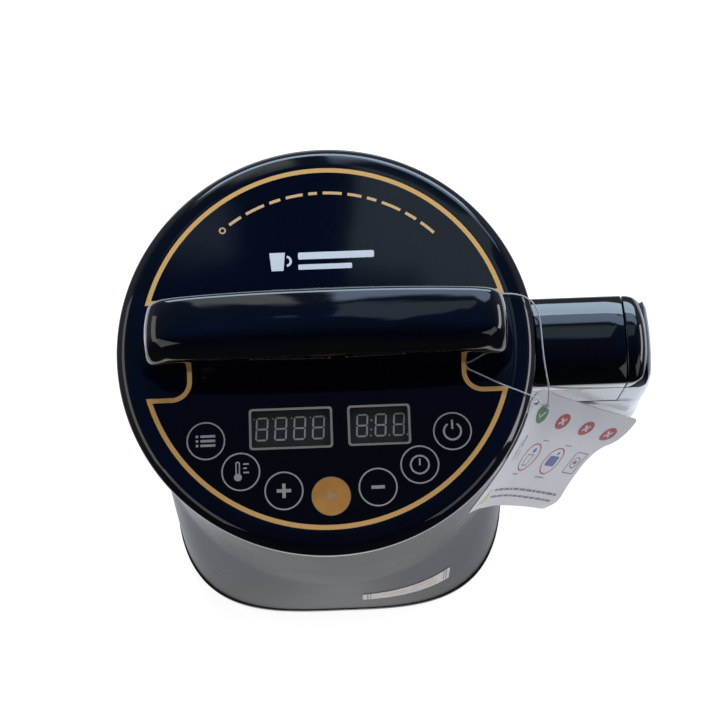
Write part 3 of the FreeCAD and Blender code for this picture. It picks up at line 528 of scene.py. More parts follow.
def cut(ob, cutters):
    """Boolean difference, applied; cutters are (verts, faces)."""
    for vs, fs in cutters:
        me = mesh_of("cutter", vs, fs)
        bm = bmesh.new(); bm.from_mesh(me); bmesh.ops.recalc_face_normals(bm, faces=bm.faces); bm.to_mesh(me); bm.free()
        c = bpy.data.objects.new("cutter", me)
        scene.collection.objects.link(c)
        md = ob.modifiers.new("cut", "BOOLEAN")
        md.operation = "DIFFERENCE"
        md.solver = "EXACT"
        md.object = c
        bpy.context.view_layer.update()
        dg = bpy.context.evaluated_depsgraph_get()
        new = bpy.data.meshes.new_from_object(ob.evaluated_get(dg))
        ob.modifiers.clear()
        old = ob.data
        ob.data = new
        bpy.data.meshes.remove(old)
        bpy.data.objects.remove(c)
    ob.data.shade_smooth()
    ob.data.set_sharp_from_angle(angle=math.radians(32))
    return ob


def prism(loop, z0, z1):
    n = len(loop)
    vs = [M(x, y, z0) for x, y in loop] + [M(x, y, z1) for x, y in loop]
    fs = [tuple(reversed(range(n))), tuple(range(n, 2 * n))] + [(i, (i + 1) % n, n + (i + 1) % n, n + i) for i in range(n)]
    return vs, fs


def prism_yz(loop, x0, x1):
    n = len(loop)
    vs = [M(x0, y, z) for y, z in loop] + [M(x1, y, z) for y, z in loop]
    fs = [tuple(reversed(range(n))), tuple(range(n, 2 * n))] + [(i, (i + 1) % n, n + (i + 1) % n, n + i) for i in range(n)]
    return vs, fs


def beam(T, U, W, rT=4.0, rU=3.0, crown=0.0, seg=6, rF=None):
    """Tube of rounded-rectangle sections: T and U are matching (x, z) edges, W half widths in y."""
    rings = []
    for k_, ((tx, tz), (ux, uz), w_) in enumerate(zip(T, U, W)):
        d = Vector((tx - ux, tz - uz))
        h = d.length
        d.normalize()
        a_r = min(rT, 0.49 * h, 0.8 * w_)
        b_r = min(rU, 0.49 * h, 0.8 * w_)
        f_r = a_r if rF is None else min(rF[k_], h - b_r - 0.3, 0.95 * w_)
        pts = []
        for i in range(9):
            pts.append((0.0, -(w_ - b_r) + 2 * (w_ - b_r) * i / 8))
        for i in range(1, seg + 1):
            q = math.pi / 2 * i / seg
            pts.append((b_r - b_r * math.cos(q), w_ - b_r + b_r * math.sin(q)))
        for i in range(1, 6):
            pts.append((b_r + (h - a_r - b_r) * i / 5, w_))
        for i in range(1, seg + 1):
            q = math.pi / 2 * i / seg
            pts.append((h - a_r + a_r * math.sin(q), w_ - a_r + a_r * math.cos(q)))
        for i in range(1, 12):
            pts.append((h, (w_ - a_r) - (2 * w_ - a_r - f_r) * i / 12))
        for i in range(0, seg + 1):
            q = math.pi / 2 * i / seg
            pts.append((h - f_r + f_r * math.cos(q), -(w_ - f_r) - f_r * math.sin(q)))
        for i in range(1, 6):
            pts.append((h - f_r - (h - f_r - b_r) * i / 6, -w_))
        for i in range(1, seg):
            q = math.pi / 2 * i / seg
            pts.append((b_r - b_r * math.sin(q), -(w_ - b_r) - b_r * math.cos(q)))
        ring = []
        for a, b in pts:
            aa = a - (crown * (b / w_) ** 2 * (a / h) if h > 0 else 0)
            ring.append(M(ux + d.x * aa, b, uz + d.y * aa))
        rings.append(ring)
    return rings


# ================= steel housing ==========================================
def exponent(z):
    return 2.0 + 1.5 * max(0.0, 1.0 - z / 100.0) ** 1.2


def half_width(z):
    return 79.2 - 2.2 * (z - 9.0) / 184.0


def squircle_pt(t, z, off=0.0, a=None, n=None):
    n = exponent(z) if n is None else n
    a = half_width(z) if a is None else a
    c, s = math.cos(t), math.sin(t)
    r = (a + off) / (abs(c) ** n + abs(s) ** n) ** (1.0 / n)
    return r * c, r * s


def ring_at(z, off, count=256, a=None, n=None):
    out = []
    for i in range(count):
        x, y = squircle_pt(2 * math.pi * i / count, z, off, a, n)
        out.append(M(x, y, z))
    return out


LEV = 72
outer = [(9.0 + 184.0 * i / LEV, 0.0) for i in range(LEV + 1)]
outer = [(9.0, -0.35)] + [(9.3, 0.0)] + outer[1:-1] + [(192.8, 0.0), (193.0, -0.3)]
inner = [(193.0, -0.8)] + [(190.0 - 30.0 * i, -0.8) for i in range(6)] + [(12.0, -0.8), (9.9, -0.8)]
rings = [ring_at(z, o) for z, o in outer] + [ring_at(z, o) for z, o in inner] + [ring_at(9.9, 0, a=64.5, n=3.4), ring_at(9.0, 0, a=64.5, n=3.4)]
vs, fs = from_rings(rings, closed=True)
housing = finish_mesh(mesh_of("jug_housing", vs, fs), MT["shell"], "jug_housing", "jug")
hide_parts("outer_shell")

# rolled seam line of the base and a thin shadow gap are part of the base band
base_rings = []
for z, o in ((2.5, -1.4), (2.62, -0.9), (2.95, -0.45), (3.5, -0.12), (4.2, 0.0), (7.9, 0.0), (8.5, -0.06), (8.85, -0.3), (9.0, -0.62)):
    base_rings.append(ring_at(z, o, a=79.6, n=exponent(5.0)))
for z, a in ((9.0, 77.0), (5.0, 77.0), (5.0, 72.5), (4.4, 72.0), (4.4, 71.0), (2.5, 70.5)):
    base_rings.append(ring_at(z, 0, a=a, n=exponent(5.0)))
vs, fs = from_rings(base_rings, closed=True)
base_band = finish_mesh(mesh_of("base_band", vs, fs), MT["black_plastic"], "base_band", "jug")

# ================= jug handle =============================================
liner_path = open_rounded([(76.5, 55.0), (97.0, 55.0, 14.0), (109.0, 76.0, 34.0), (111.6, 112.0, 64.0), (110.4, 152.5, 14.0), (76.5, 152.5)], 12)
gap_path = open_rounded([(76.5, 60.0), (94.0, 60.0, 12.0), (104.0, 78.0, 30.0), (106.6, 112.0, 60.0), (105.4, 147.5, 11.0), (76.5, 147.5)], 12)
out_path = open_rounded([(118.6, 55.0), (118.6, 66.0, 14.0), (126.4, 92.0, 60.0), (129.4, 128.0, 90.0), (128.3, 154.0)], 12)
NS = 96
U_l, U_g, T_o = resample(liner_path, NS), resample(gap_path, NS), resample(out_path, NS)
T, U, W = [], [], []


def station(t, u, w_):
    T.append(t); U.append(u); W.append(w_)


station((116.6, 34.0), (76.5, 34.0), 15.6)
station((117.7, 34.3), (76.5, 34.3), 16.7)
station((118.4, 35.1), (76.5, 35.1), 17.3)
station((118.6, 36.4), (76.5, 36.4), 17.5)
station((118.6, 45.0), (76.5, 45.0), 17.5)
for k in range(NS + 1):
    station(tuple(T_o[k]), tuple(U_l[k]), 17.5)
station((128.25, 158.0), (76.5, 158.0), 17.5)
station((128.0, 163.0), (76.5, 163.0), 17.5)
station((127.75, 168.6), (76.5, 168.6), 17.5)
station((127.7, 169.1), (76.5, 169.1), 17.4)
station((127.65, 169.4), (76.5, 169.4), 17.1)
station((127.65, 169.45), (114.3, 169.45), 17.1)
station((127.6, 169.8), (114.3, 169.8), 17.4)
station((127.5, 170.3), (114.3, 170.3), 17.5)
for z, x, w_ in ((176, 127.2, 17.5), (182, 126.6, 17.5), (188, 125.95, 17.5), (193, 125.35, 17.5), (196.5, 124.85, 17.4), (197.9, 124.4, 17.0), (198.5, 123.8, 16.4)):
    station((x, z), (114.3, z), w_)
rings = beam(T, U, W, rT=8.0, rU=0.5, crown=1.3, seg=9)
vs, fs = from_rings(rings)
silver = finish_mesh(mesh_of("handle_silver", vs, fs), MT["silver"], "handle_silver", "jug")
cut(silver, [
    prism_yz(rounded([(-13.6, 38.1, 1.0), (13.6, 38.1, 1.0), (13.6, 57.9, 1.0), (-13.6, 57.9, 1.0)], 5), 95.9, 130.0),
    prism(rrect(87.9, 108.1, -11.1, 11.1, 1.6), 155.4, 180.0),
    prism(rrect(100.0, 122.7, -30.0, 30.0), 192.0, 215.0),
])
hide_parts("handle_outer_shell")

rings = beam([tuple(p) for p in U_l], [tuple(p) for p in U_g], [17.2] * (NS + 1), rT=0.35, rU=4.2, seg=7)
vs, fs = from_rings(rings)
grip = finish_mesh(mesh_of("handle_grip", vs, fs), MT["grip"], "handle_grip", "jug")
cut(grip, [prism_yz(rrect(-13.6, 13.6, 38.1, 57.9), 95.9, 130.0)])
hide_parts("handle_inner_grip")


def crown_section(w_, z0, z_side, z_top, rs=2.2):
    pts = [(-w_, z0, 0.25), (w_, z0, 0.25), (w_, z_side, rs)]
    n = 16
    for i in range(1, n):
        y = w_ * (1 - 2 * i / n)
        pts.append((y, z_top - (z_top - z_side) * abs(y / w_) ** 2.2, 0))
    pts.append((-w_, z_side, rs))
    return rounded(pts, 5)


# connector cover on the head
sec = crown_section(17.5, 192.15, 199.6, 205.4)
sec_in = crown_section(17.2, 192.35, 199.4, 205.1)
rings = []
for k in range(7):
    f_ = k / 6.0
    ring = []
    for y, z in sec:
        x0 = math.sqrt(80.32 ** 2 - y * y)
        ring.append(M(x0 + (113.65 - x0) * f_, y, z))
    rings.append(ring)
rings.append([M(113.9, y, z) for y, z in crown_section(17.42, 192.2, 199.52, 205.32)])
rings.append([M(114.0, y, z) for y, z in sec_in])
vs, fs = from_rings(rings)
lug_top = finish_mesh(mesh_of("lug_cover", vs, fs), MT["lug_black"], "lug_cover", "head")
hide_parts("coupler_cover")

# matching cap on the handle's tower
rings = [[M(114.4, y, z) for y, z in crown_section(17.1, 192.35, 199.4, 205.1)], [M(114.52, y, z) for y, z in crown_section(17.32, 192.2, 199.52, 205.32)],
         [M(114.8, y, z) for y, z in crown_section(17.4, 192.15, 199.6, 205.4)]]
X1 = 122.55
for k in range(0, 17):
    q = math.pi / 2 * k / 16
    x = X1 - 7.5 + 7.5 * math.sin(q)
    w_ = 17.4 - 7.5 * (1 - math.cos(q)) * 0.92
    dx = max(0.0, x - (X1 - 4.8))
    drop = 4.8 - math.sqrt(max(0.0, 4.8 ** 2 - dx ** 2))
    rings.append([M(x, y, z) for y, z in crown_section(w_, 192.15, 199.6 - drop * 0.8, 205.4 - drop)])
vs, fs = from_rings(rings)
cap = finish_mesh(mesh_of("tower_cap", vs, fs), MT["lug_black"], "tower_cap", "jug", sharp=math.radians(50))
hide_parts("handle_top_cap")

# ================= carry handle ===========================================
def smooth_path(pts, n=240):
    """Centripetal Catmull-Rom through the points."""
    P = [Vector(p) for p in pts]
    P = [P[0] * 2 - P[1]] + P + [P[-1] * 2 - P[-2]]
    out = []
    per = max(4, n // (len(P) - 3))
    for i in range(1, len(P) - 2):
        p0, p1, p2, p3 = P[i - 1], P[i], P[i + 1], P[i + 2]
        t0 = 0.0
        t1 = t0 + (p1 - p0).length ** 0.5
        t2 = t1 + (p2 - p1).length ** 0.5
        t3 = t2 + (p3 - p2).length ** 0.5
        for k in range(per):
            t = t1 + (t2 - t1) * k / per
            a1 = p0 * ((t1 - t) / (t1 - t0)) + p1 * ((t - t0) / (t1 - t0))
            a2 = p1 * ((t2 - t) / (t2 - t1)) + p2 * ((t - t1) / (t2 - t1))
            a3 = p2 * ((t3 - t) / (t3 - t2)) + p3 * ((t - t2) / (t3 - t2))
            b1 = a1 * ((t2 - t) / (t2 - t0)) + a2 * ((t - t0) / (t2 - t0))
            b2 = a2 * ((t3 - t) / (t3 - t1)) + a3 * ((t - t1) / (t3 - t1))
            out.append(b1 * ((t2 - t) / (t2 - t1)) + b2 * ((t - t1) / (t2 - t1)))
    out.append(P[-2])
    return out


half = [(71.0, 0.0), (69.9, 7.0), (68.8, 14.0), (67.9, 20.0), (67.1, 25.0), (66.0, 28.8), (63.6, 31.3), (59.0, 32.7), (50.0, 33.8), (40.0, 34.7), (28.0, 35.6), (14.0, 36.3)]
half_l = [(71.0, 0.0), (69.7, 7.0), (68.1, 14.0), (66.8, 20.0), (65.8, 25.0), (64.5, 28.6), (62.0, 31.0), (57.5, 32.4), (49.0, 33.7), (39.0, 34.7), (28.0, 35.6), (14.0, 36.3)]
top_pts = [(-x, ZT + z) for x, z in half_l] + [(0.0, ZT + 36.5)] + [(x, ZT + z) for x, z in reversed(half)]
under_pts = []
for i in range(97):
    a = math.pi * (1 - i / 96)
    x = 54.0 * math.cos(a)
    under_pts.append((x, ZT + 22.6 * max(0.0, 1 - abs(math.cos(a)) ** 2.6) ** 0.625))
NB = 150
Tb, Ub = resample(smooth_path(top_pts), NB), resample(under_pts, NB)
Wb = []
for t, u in zip(Tb, Ub):
    x = (t[0] + u[0]) / 2
    Wb.append(12.5 - 2.0 * min(1.0, (abs(x) / 70.0)) ** 2)
roll = []
for t in Tb:
    k = min(1.0, max(0.0, (t[1] - ZT - 22.0) / 9.0))
    roll.append(2.6 + 6.9 * k * k * (3 - 2 * k))
rings = beam([tuple(p) for p in Tb], [tuple(p) for p in Ub], Wb, rT=2.5, rU=1.4, crown=2.0, seg=12, rF=roll)
vs, fs = from_rings(rings)
bar = finish_mesh(mesh_of("carry_bar", vs, fs), MT["handle"], "carry_bar", "head", sharp=math.radians(60))
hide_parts("carry_handle")
Tl, Ul, Wl = [], [], []
for t, u, w_ in zip(Tb, Ub, Wb):
    d = (t - u).normalized()
    a = u + d * 0.9
    b = u - d * 0.16
    if u[1] < ZT + 0.8:
        continue
    Tl.append(tuple(a)); Ul.append(tuple(b)); Wl.append(w_ - 2.9)
vs, fs = from_rings(beam(Tl, Ul, Wl, rT=0.2, rU=0.3, seg=4))
bar_liner = finish_mesh(mesh_of("carry_bar_liner", vs, fs), MT["liner"], "carry_bar_liner", "head")
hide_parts("carry_handle_liner")

# ================= head rim and top plate =================================
KEYS = ["key_function", "key_temperature", "key_plus", "key_start", "key_minus", "key_time", "key_power"]
KEY_ANG = [math.radians(-90 + KEY_TURN + (i - 3) * KEY_STEP) for i in range(7)]
KEY_POS = [(R_KEYS * math.cos(a), R_KEYS * math.sin(a)) for a in KEY_ANG]
WIN = [(-28.9, 0.8, -39.1, -25.0), (8.0, 29.9, -38.9, -25.0)]
MOD = [(-29.5, 1.7, -39.55, -24.55), (7.45, 30.95, -39.45, -24.45)]

profile = rounded([(70.92, 206.75), (70.92, 207.98, 0.12), (72.4, 207.95, 3.0), (76.9, 207.45, 4.5), (80.0, 204.9, 3.4), (79.95, 203.0, 0), (79.3, 196.0, 0.7),
                   (77.0, 196.0, 0.3), (77.0, 202.4, 2.0), (70.0, 204.2), (70.0, 206.75)], 8)
rim_v, rim_f = lathe(profile, 320)


def notch_edge(s, nx, ny, r_out, r_c=7.0, seg=10):
    """Points of one notch, from the +Y ring end inward and back out at -Y (s is +1 or -1)."""
    yr = ny - (NOTCH_Y - NOTCH_REAR)
    xr, xf = math.sqrt(r_out ** 2 - yr ** 2), math.sqrt(r_out ** 2 - ny ** 2)
    a = rounded([(xr + 40, yr), (nx, yr, r_c), (nx, -ny, r_c), (xf + 40, -ny)], seg)[1:-1]
    return [(s * x, y) for x, y in [(xr, yr)] + a + [(xf, -ny)]]


def panel_loop(r_out, nx, ny, n=150):
    """Panel outline: rear arc, left notch, front arc, right notch."""
    yr = ny - (NOTCH_Y - NOTCH_REAR)
    ar, a0 = math.degrees(math.asin(yr / r_out)), math.degrees(math.asin(ny / r_out))
    rear = arc_pts(0, 0, r_out, ar, 180 - ar, n)
    front = arc_pts(0, 0, r_out, 180 + a0, 360 - a0, n)
    left = notch_edge(-1, nx, ny, r_out)
    rgt = notch_edge(1, nx, ny, r_out)[::-1]
    return rear + left[1:-1] + front + rgt[1:-1]


def island(s):
    nx, ny, r_o = NOTCH_X + 0.12, NOTCH_Y - 0.12, 71.0
    yr = ny - (NOTCH_Y - NOTCH_REAR)
    arc = arc_pts(0, 0, r_o, -math.degrees(math.asin(ny / r_o)), math.degrees(math.asin(yr / r_o)), 24)
    e = notch_edge(1, nx, ny, r_o)
    return [(s * x, y) for x, y in arc + e[1:-1]]


parts = [(rim_v, rim_f)]
for loops, z0, z1 in (([circle(0, 0, 70.96, 288)] + [circle(x, y, 8.9, 48) for x, y in KEY_POS] + [rrect(*m_) for m_ in MOD], 204.2, 206.76),
                      ([island(1)], 206.7, 207.98), ([island(-1)], 206.7, 207.98)):
    me = filled(loops, z0, z1)
    v2, f2 = data_of(me)
    parts.append(([M(*c) for c in v2], f2))
    bpy.data.meshes.remove(me)
vs, fs = join_meshes(parts)
rim = finish_mesh(mesh_of("head_rim", vs, fs), MT["head"], "head_rim", "head")
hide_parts("head_cover")

top_panel = plate("panel_plate", [panel_loop(R_PANEL, NOTCH_X, NOTCH_Y)] + [circle(x, y, 7.45, 72) for x, y in KEY_POS] + [rrect(*w_, 0.8) for w_ in WIN],
                  ZT - 1.2, ZT, MT["panel"], "head")
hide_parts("control_panel")

# ================= printed outline ========================================
PZ0, PZ1 = ZT + 0.012, ZT + 0.045
YF, YR = 19.75, NOTCH_REAR + 1.05
af, ar = math.degrees(math.asin(YF / 69.9)), math.degrees(math.asin(YR / 69.9))
side = rounded([(110.0, YR), (51.8, YR, 7.0), (51.8, -YF, 7.0), (110.0, -YF)], 14)[1:-1]
centre = (arc_pts(0, 0, 69.9, ar, 180 - ar, 170) + [(-x, y) for x, y in side]
          + arc_pts(0, 0, 69.9, 180 + af, 360 - af, 170) + side[::-1])
plate("gold_outline", [offset_loop(centre, 0.9), offset_loop(centre, -0.9)], PZ0, PZ1, MT["gold_line"], "head")

# display frames
plate("display_frames", [rrect(-29.75, 1.55, -39.9, -24.2, 1.3), rrect(-28.85, 0.7, -39.1, -25.05, 0.8),
                         rrect(7.2, 30.75, -39.65, -24.2, 1.3), rrect(8.1, 29.85, -38.85, -25.05, 0.8)], PZ0, PZ1, MT["frame_ink"], "head")


# ================= seven-segment digits ===================================
def digit(x, y, w_, h, slant=0.06, th=0.62, gap=0.16):
    """Outlines of one figure eight: seven separate bars."""
    loops = []
    hw, hh = w_ / 2, h / 2

    def bar_h(cy, x0, x1):
        t = th / 2
        return [(x0 + gap, cy), (x0 + gap + t, cy + t), (x1 - gap - t, cy + t), (x1 - gap, cy), (x1 - gap - t, cy - t), (x0 + gap + t, cy - t)]

    def bar_v(cx, y0, y1):
        t = th / 2
        return [(cx, y0 + gap), (cx + t, y0 + gap + t), (cx + t, y1 - gap - t), (cx, y1 - gap), (cx - t, y1 - gap - t), (cx - t, y0 + gap + t)]
    xl, xr = -hw + th / 2, hw - th / 2
    yb, yt = -hh + th / 2, hh - th / 2
    for lp in (bar_h(yt, xl, xr), bar_h(0, xl, xr), bar_h(yb, xl, xr), bar_v(xl, 0, yt), bar_v(xr, 0, yt), bar_v(xl, yb, 0), bar_v(xr, yb, 0)):
        loops.append([(x + px + slant * py, y + py) for px, py in lp])
    return loops


DZ = ZT - 1.35
segs = []
for i in range(4):
    cx = -25.0 + 7.07 * i
    segs += digit(cx, -31.85, 4.7, 9.0)
    segs.append(circle(cx - 2.9, -27.9, 0.28, 12))
for i, cx in enumerate((12.6, 19.55, 26.4)):
    segs += digit(cx, -31.75, 4.4, 8.8)
    segs.append(circle(cx + 3.1, -35.7, 0.34, 12))
segs += [circle(16.15, -29.8, 0.34, 12), circle(15.95, -33.4, 0.34, 12)]
plate("display_segments", segs, DZ + 0.01, DZ + 0.04, MT["segment"], "head")

# ================= key legends ============================================
KZ0, KZ1 = ZT - 0.022, ZT + 0.012


def ring_loops(r_out=7.26, w_=0.55):
    return [circle(0, 0, r_out, 72), circle(0, 0, r_out - w_, 72)]


def bar_rect(cx, cy, w_, h, r=0.2):
    return rrect(cx - w_ / 2, cx + w_ / 2, cy - h / 2, cy + h / 2, min(r, h * 0.45, w_ * 0.45), 3)


def arc_stroke(r, w_, a_from, a_to, n=40, cx=0.0, cy=0.0):
    return stroke(arc_pts(cx, cy, r, a_from, a_to, n), w_)


plus_loop = [(-0.62, -2.7), (0.62, -2.7), (0.62, -0.62), (2.7, -0.62), (2.7, 0.62), (0.62, 0.62), (0.62, 2.7), (-0.62, 2.7), (-0.62, 0.62), (-2.7, 0.62), (-2.7, -0.62), (-0.62, -0.62)]
icons = {
    "key_function": [bar_rect(-3.3, 1.75, 1.0, 0.95), bar_rect(0.75, 1.75, 5.6, 0.95), bar_rect(-3.3, 0.0, 1.0, 0.95), bar_rect(0.75, 0.0, 5.6, 0.95),
                     bar_rect(-3.3, -1.75, 1.0, 0.95), bar_rect(0.75, -1.75, 5.6, 0.95)],
    "key_temperature": [
        rounded([(-1.95, -1.2, 0.2), (-0.25, -1.2, 0.2), (-0.25, 3.9, 0.84), (-1.95, 3.9, 0.84)], 6),
        rounded([(-1.5, -1.6, 0.0), (-0.7, -1.6, 0.0), (-0.7, 3.4, 0.38), (-1.5, 3.4, 0.38)], 4),
        circle(-1.1, -2.35, 1.75, 40), circle(-1.1, -2.35, 1.15, 32),
        bar_rect(2.0, 2.9, 2.2, 0.6), bar_rect(1.6, 1.3, 1.4, 0.6), bar_rect(2.0, -0.3, 2.2, 0.6)],
    "key_plus": [plus_loop],
    "key_minus": [bar_rect(0, 0, 5.0, 1.25, 0.1)],
    "key_time": [circle(0, 0, 3.7, 48), circle(0, 0, 3.05, 48), stroke([(0.0, -0.25), (0.0, 2.3)], 0.62), stroke([(-0.28, 0.0), (1.75, -1.15)], 0.62)],
    "key_power": [arc_stroke(3.2, 0.75, 122, 418), bar_rect(0, 2.55, 0.78, 3.6, 0.3)],
}
icons["key_temperature"] = icons["key_temperature"][:1] + icons["key_temperature"][1:2] + icons["key_temperature"][4:]
therm_bulb = [circle(-1.1, -2.1, 1.45, 40)]
for name, (x, y) in zip(KEYS, KEY_POS):
    if name == "key_start":
        plate("start_mark", shift([[(-1.5, -2.1), (2.3, 0.0), (-1.5, 2.1)]], x, y), KZ0, KZ1, MT["gold_mark"], name)
        plate("start_edge", shift([circle(0, 0, 7.26, 72), circle(0, 0, 7.06, 72)], x, y), KZ0, KZ1, MT["gold_mark"], name)
        continue
    plate(name + "_legend", shift(ring_loops() + icons[name], x, y), KZ0, KZ1, MT["grey_ink"], name)
    if name == "key_temperature":
        plate("temperature_bulb", shift(therm_bulb, x, y), KZ0 - 0.004, KZ1 + 0.004, MT["grey_ink"], name)

# ================= generic marks in place of the printed words ============
jug_icon = [
    [(-20.6, 36.9), (-14.6, 36.9), (-15.3, 29.6), (-19.9, 29.6)],
    offset_loop(arc_pts(-14.3, 33.4, 2.3, -80, 80, 16) + arc_pts(-14.3, 33.4, 1.4, 80, -80, 16), 0.0),
]
plate("brand_free_mark", jug_icon[:1] + [jug_icon[1]] + [rrect(-9.6, 19.6, 33.9, 36.7, 0.6), rrect(-9.6, 11.0, 29.8, 31.9, 0.5)], PZ0, PZ1, MT["white_ink"], "head")

arc_loops = [circle(60.5 * math.cos(math.radians(129.5)), 60.5 * math.sin(math.radians(129.5)), 1.35, 28), circle(60.5 * math.cos(math.radians(129.5)), 60.5 * math.sin(math.radians(129.5)), 0.8, 28)]
ang = 126.2
for span in (5.2, 7.4, 4.2, 6.3, 3.2, 7.0, 5.2, 3.6, 7.4, 4.6, 6.2):
    arc_loops.append(stroke(arc_pts(0, 0, 60.6, ang, ang - span, 14), 1.15))
    ang -= span + 2.1
plate("arc_dashes", arc_loops, PZ0, PZ1, MT["cream_ink"], "head")

# ================= side label =============================================
def on_wall(theta, z, off):
    x, y = squircle_pt(theta, z, off)
    return M(x, y, z)


def wall_theta(x, z):
    lo_, hi_ = -math.pi / 2, -math.pi / 6
    for _ in range(50):
        mid = (lo_ + hi_) / 2
        if squircle_pt(mid, z, 0.1)[0] < x:
            lo_ = mid
        else:
            hi_ = mid
    return (lo_ + hi_) / 2


def wall_patch(name, x0, x1, z0, z1, off, thick, material, nx=40, nz=10, skew=0.0):
    """Thin sticker that follows the wall, with closed edges."""
    rings_ = []
    cols = []
    for i in range(nx + 1):
        x = x0 + (x1 - x0) * i / nx
        col_o, col_i = [], []
        for j in range(nz + 1):
            z = z0 + (z1 - z0) * j / nz + skew * (i / nx)
            th = wall_theta(x, z)
            col_o.append(on_wall(th, z, off + thick)); col_i.append(on_wall(th, z, off))
        cols.append(col_o + col_i[::-1])
    vs_, fs_ = from_rings(cols)
    return finish_mesh(mesh_of(name, vs_, fs_), material, name, "jug")


label = wall_patch("wall_sticker", 10.0, 50.0, 42.5, 60.0, 0.06, 0.16, MT["sticker"])
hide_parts("side_label")
for i, (x0, x1, z0, z1, mt) in enumerate(((12.0, 12.6, 44.0, 58.5, "text_ink"), (13.4, 13.8, 44.0, 58.5, "text_ink"), (47.2, 47.6, 44.0, 58.5, "text_ink"), (48.3, 48.8, 44.0, 58.5, "text_ink"),
                                          (19.0, 30.0, 52.0, 54.2, "pink_ink"), (22.0, 36.0, 47.6, 49.6, "pink_ink"), (33.0, 43.0, 53.0, 56.6, "pink_ink"), (38.5, 44.5, 47.0, 50.2, "pink_ink"))):
    wall_patch("sticker_mark_%d" % i, x0, x1, z0, z1, 0.225, 0.03, MT[mt], nx=14, nz=6)

# ================= hang tag ===============================================
TAG = [
    [(81.2, -18.5, 202.1), (85.9, -18.6, 193.7), (91.3, -18.7, 185.3), (97.0, -18.7, 177.2), (102.8, -18.6, 169.0), (108.8, -18.6, 161.0), (114.8, -18.5, 153.0), (121.0, -18.4, 145.1), (127.4, -18.4, 137.2)],
    [(77.2, -22.4, 198.4), (81.7, -22.4, 189.9), (87.2, -22.4, 181.5), (93.0, -22.4, 173.2), (98.9, -22.4, 165.0), (104.9, -22.4, 156.9), (111.1, -22.3, 148.8), (117.3, -22.3, 140.7), (123.7, -22.3, 132.8)],
    [(75.6, -27.6, 194.6), (79.2, -27.3, 186.1), (83.8, -27.0, 177.7), (89.3, -26.7, 169.4), (95.0, -26.4, 161.2), (100.8, -26.1, 152.9), (106.7, -25.9, 144.8), (112.7, -25.7, 136.6), (118.8, -25.6, 128.6)],
    [(73.0, -33.6, 190.8), (76.2, -32.7, 182.4), (80.2, -31.6, 174.0), (85.2, -30.7, 165.7), (90.4, -30.0, 157.4), (95.8, -29.3, 149.1), (101.3, -28.7, 140.9), (106.9, -28.2, 132.7), (112.6, -27.7, 124.5)],
    [(69.5, -39.6, 187.2), (72.9, -38.0, 178.7), (76.8, -36.5, 170.3), (81.3, -35.2, 161.9), (86.3, -34.3, 153.6), (91.5, -33.4, 145.2), (96.7, -32.6, 136.9), (102.1, -31.9, 128.6), (107.5, -31.3, 120.3)],
    [(65.6, -45.2, 183.6), (69.1, -43.2, 175.1), (73.0, -41.4, 166.7), (77.4, -39.9, 158.2), (82.3, -38.9, 149.8), (87.4, -38.1, 141.3), (92.5, -37.3, 132.9), (97.8, -36.6, 124.5), (103.1, -36.1, 116.1)],
    [(61.3, -50.6, 180.1), (65.0, -48.3, 171.6), (69.2, -46.4, 163.1), (73.7, -44.9, 154.5), (78.4, -43.8, 146.0), (83.5, -42.9, 137.5), (88.6, -42.2, 129.0), (93.8, -41.6, 120.5), (99.1, -41.1, 112.0)],
    [(56.9, -55.7, 176.7), (60.9, -53.3, 168.1), (65.3, -51.5, 159.5), (69.8, -49.9, 150.9), (74.6, -48.8, 142.3), (79.6, -48.1, 133.7), (84.7, -47.4, 125.1), (89.8, -46.9, 116.5), (95.1, -46.6, 107.9)],
    [(52.4, -60.9, 173.3), (56.5, -58.0, 164.7), (60.8, -55.9, 156.1), (65.1, -53.9, 147.5), (69.8, -52.6, 138.8), (74.5, -51.5, 130.1), (79.3, -50.5, 121.4), (84.2, -49.8, 112.8), (89.2, -49.2, 104.1)],
]


def catmull(p0, p1, p2, p3, t):
    return 0.5 * ((2 * p1) + (p2 - p0) * t + (2 * p0 - 5 * p1 + 4 * p2 - p3) * t * t + (3 * p1 - p0 - 3 * p2 + p3) * t ** 3)


def row_at(row, t):
    t = min(max(t, 0.0), 1.0) * 8
    i = min(7, int(t))
    f_ = t - i
    g = lambda k: row[max(0, min(8, k))] if 0 <= k <= 8 else (row[0] * 2 - row[1] if k < 0 else row[8] * 2 - row[7])
    return catmull(g(i - 1), g(i), g(i + 1), g(i + 2), f_)


TAGV = [[Vector(p) for p in r] for r in TAG]


def tag_point(s, t):
    s8 = min(max(s, 0.0), 1.0) * 8
    i = min(7, int(s8))
    f_ = s8 - i
    rows = [row_at(r, t) for r in TAGV]
    g = lambda k: rows[k] if 0 <= k <= 8 else (rows[0] * 2 - rows[1] if k < 0 else rows[8] * 2 - rows[7])
    return catmull(g(i - 1), g(i), g(i + 1), g(i + 2), f_)


TAG_L, TAG_H = 80.0, 59.5


def tag_map(co):
    """(u along the card's length, v down its height, w out of its face) in mm to the row frame."""
    s, t = co[1] / TAG_H, co[0] / TAG_L
    e = 0.01
    p = tag_point(s, t)
    ds = tag_point(min(1, s + e), t) - tag_point(max(0, s - e), t)
    dt = tag_point(s, min(1, t + e)) - tag_point(s, max(0, t - e))
    nrm = ds.cross(dt).normalized()
    q = p + nrm * co[2]
    return M(q.x, q.y, q.z)


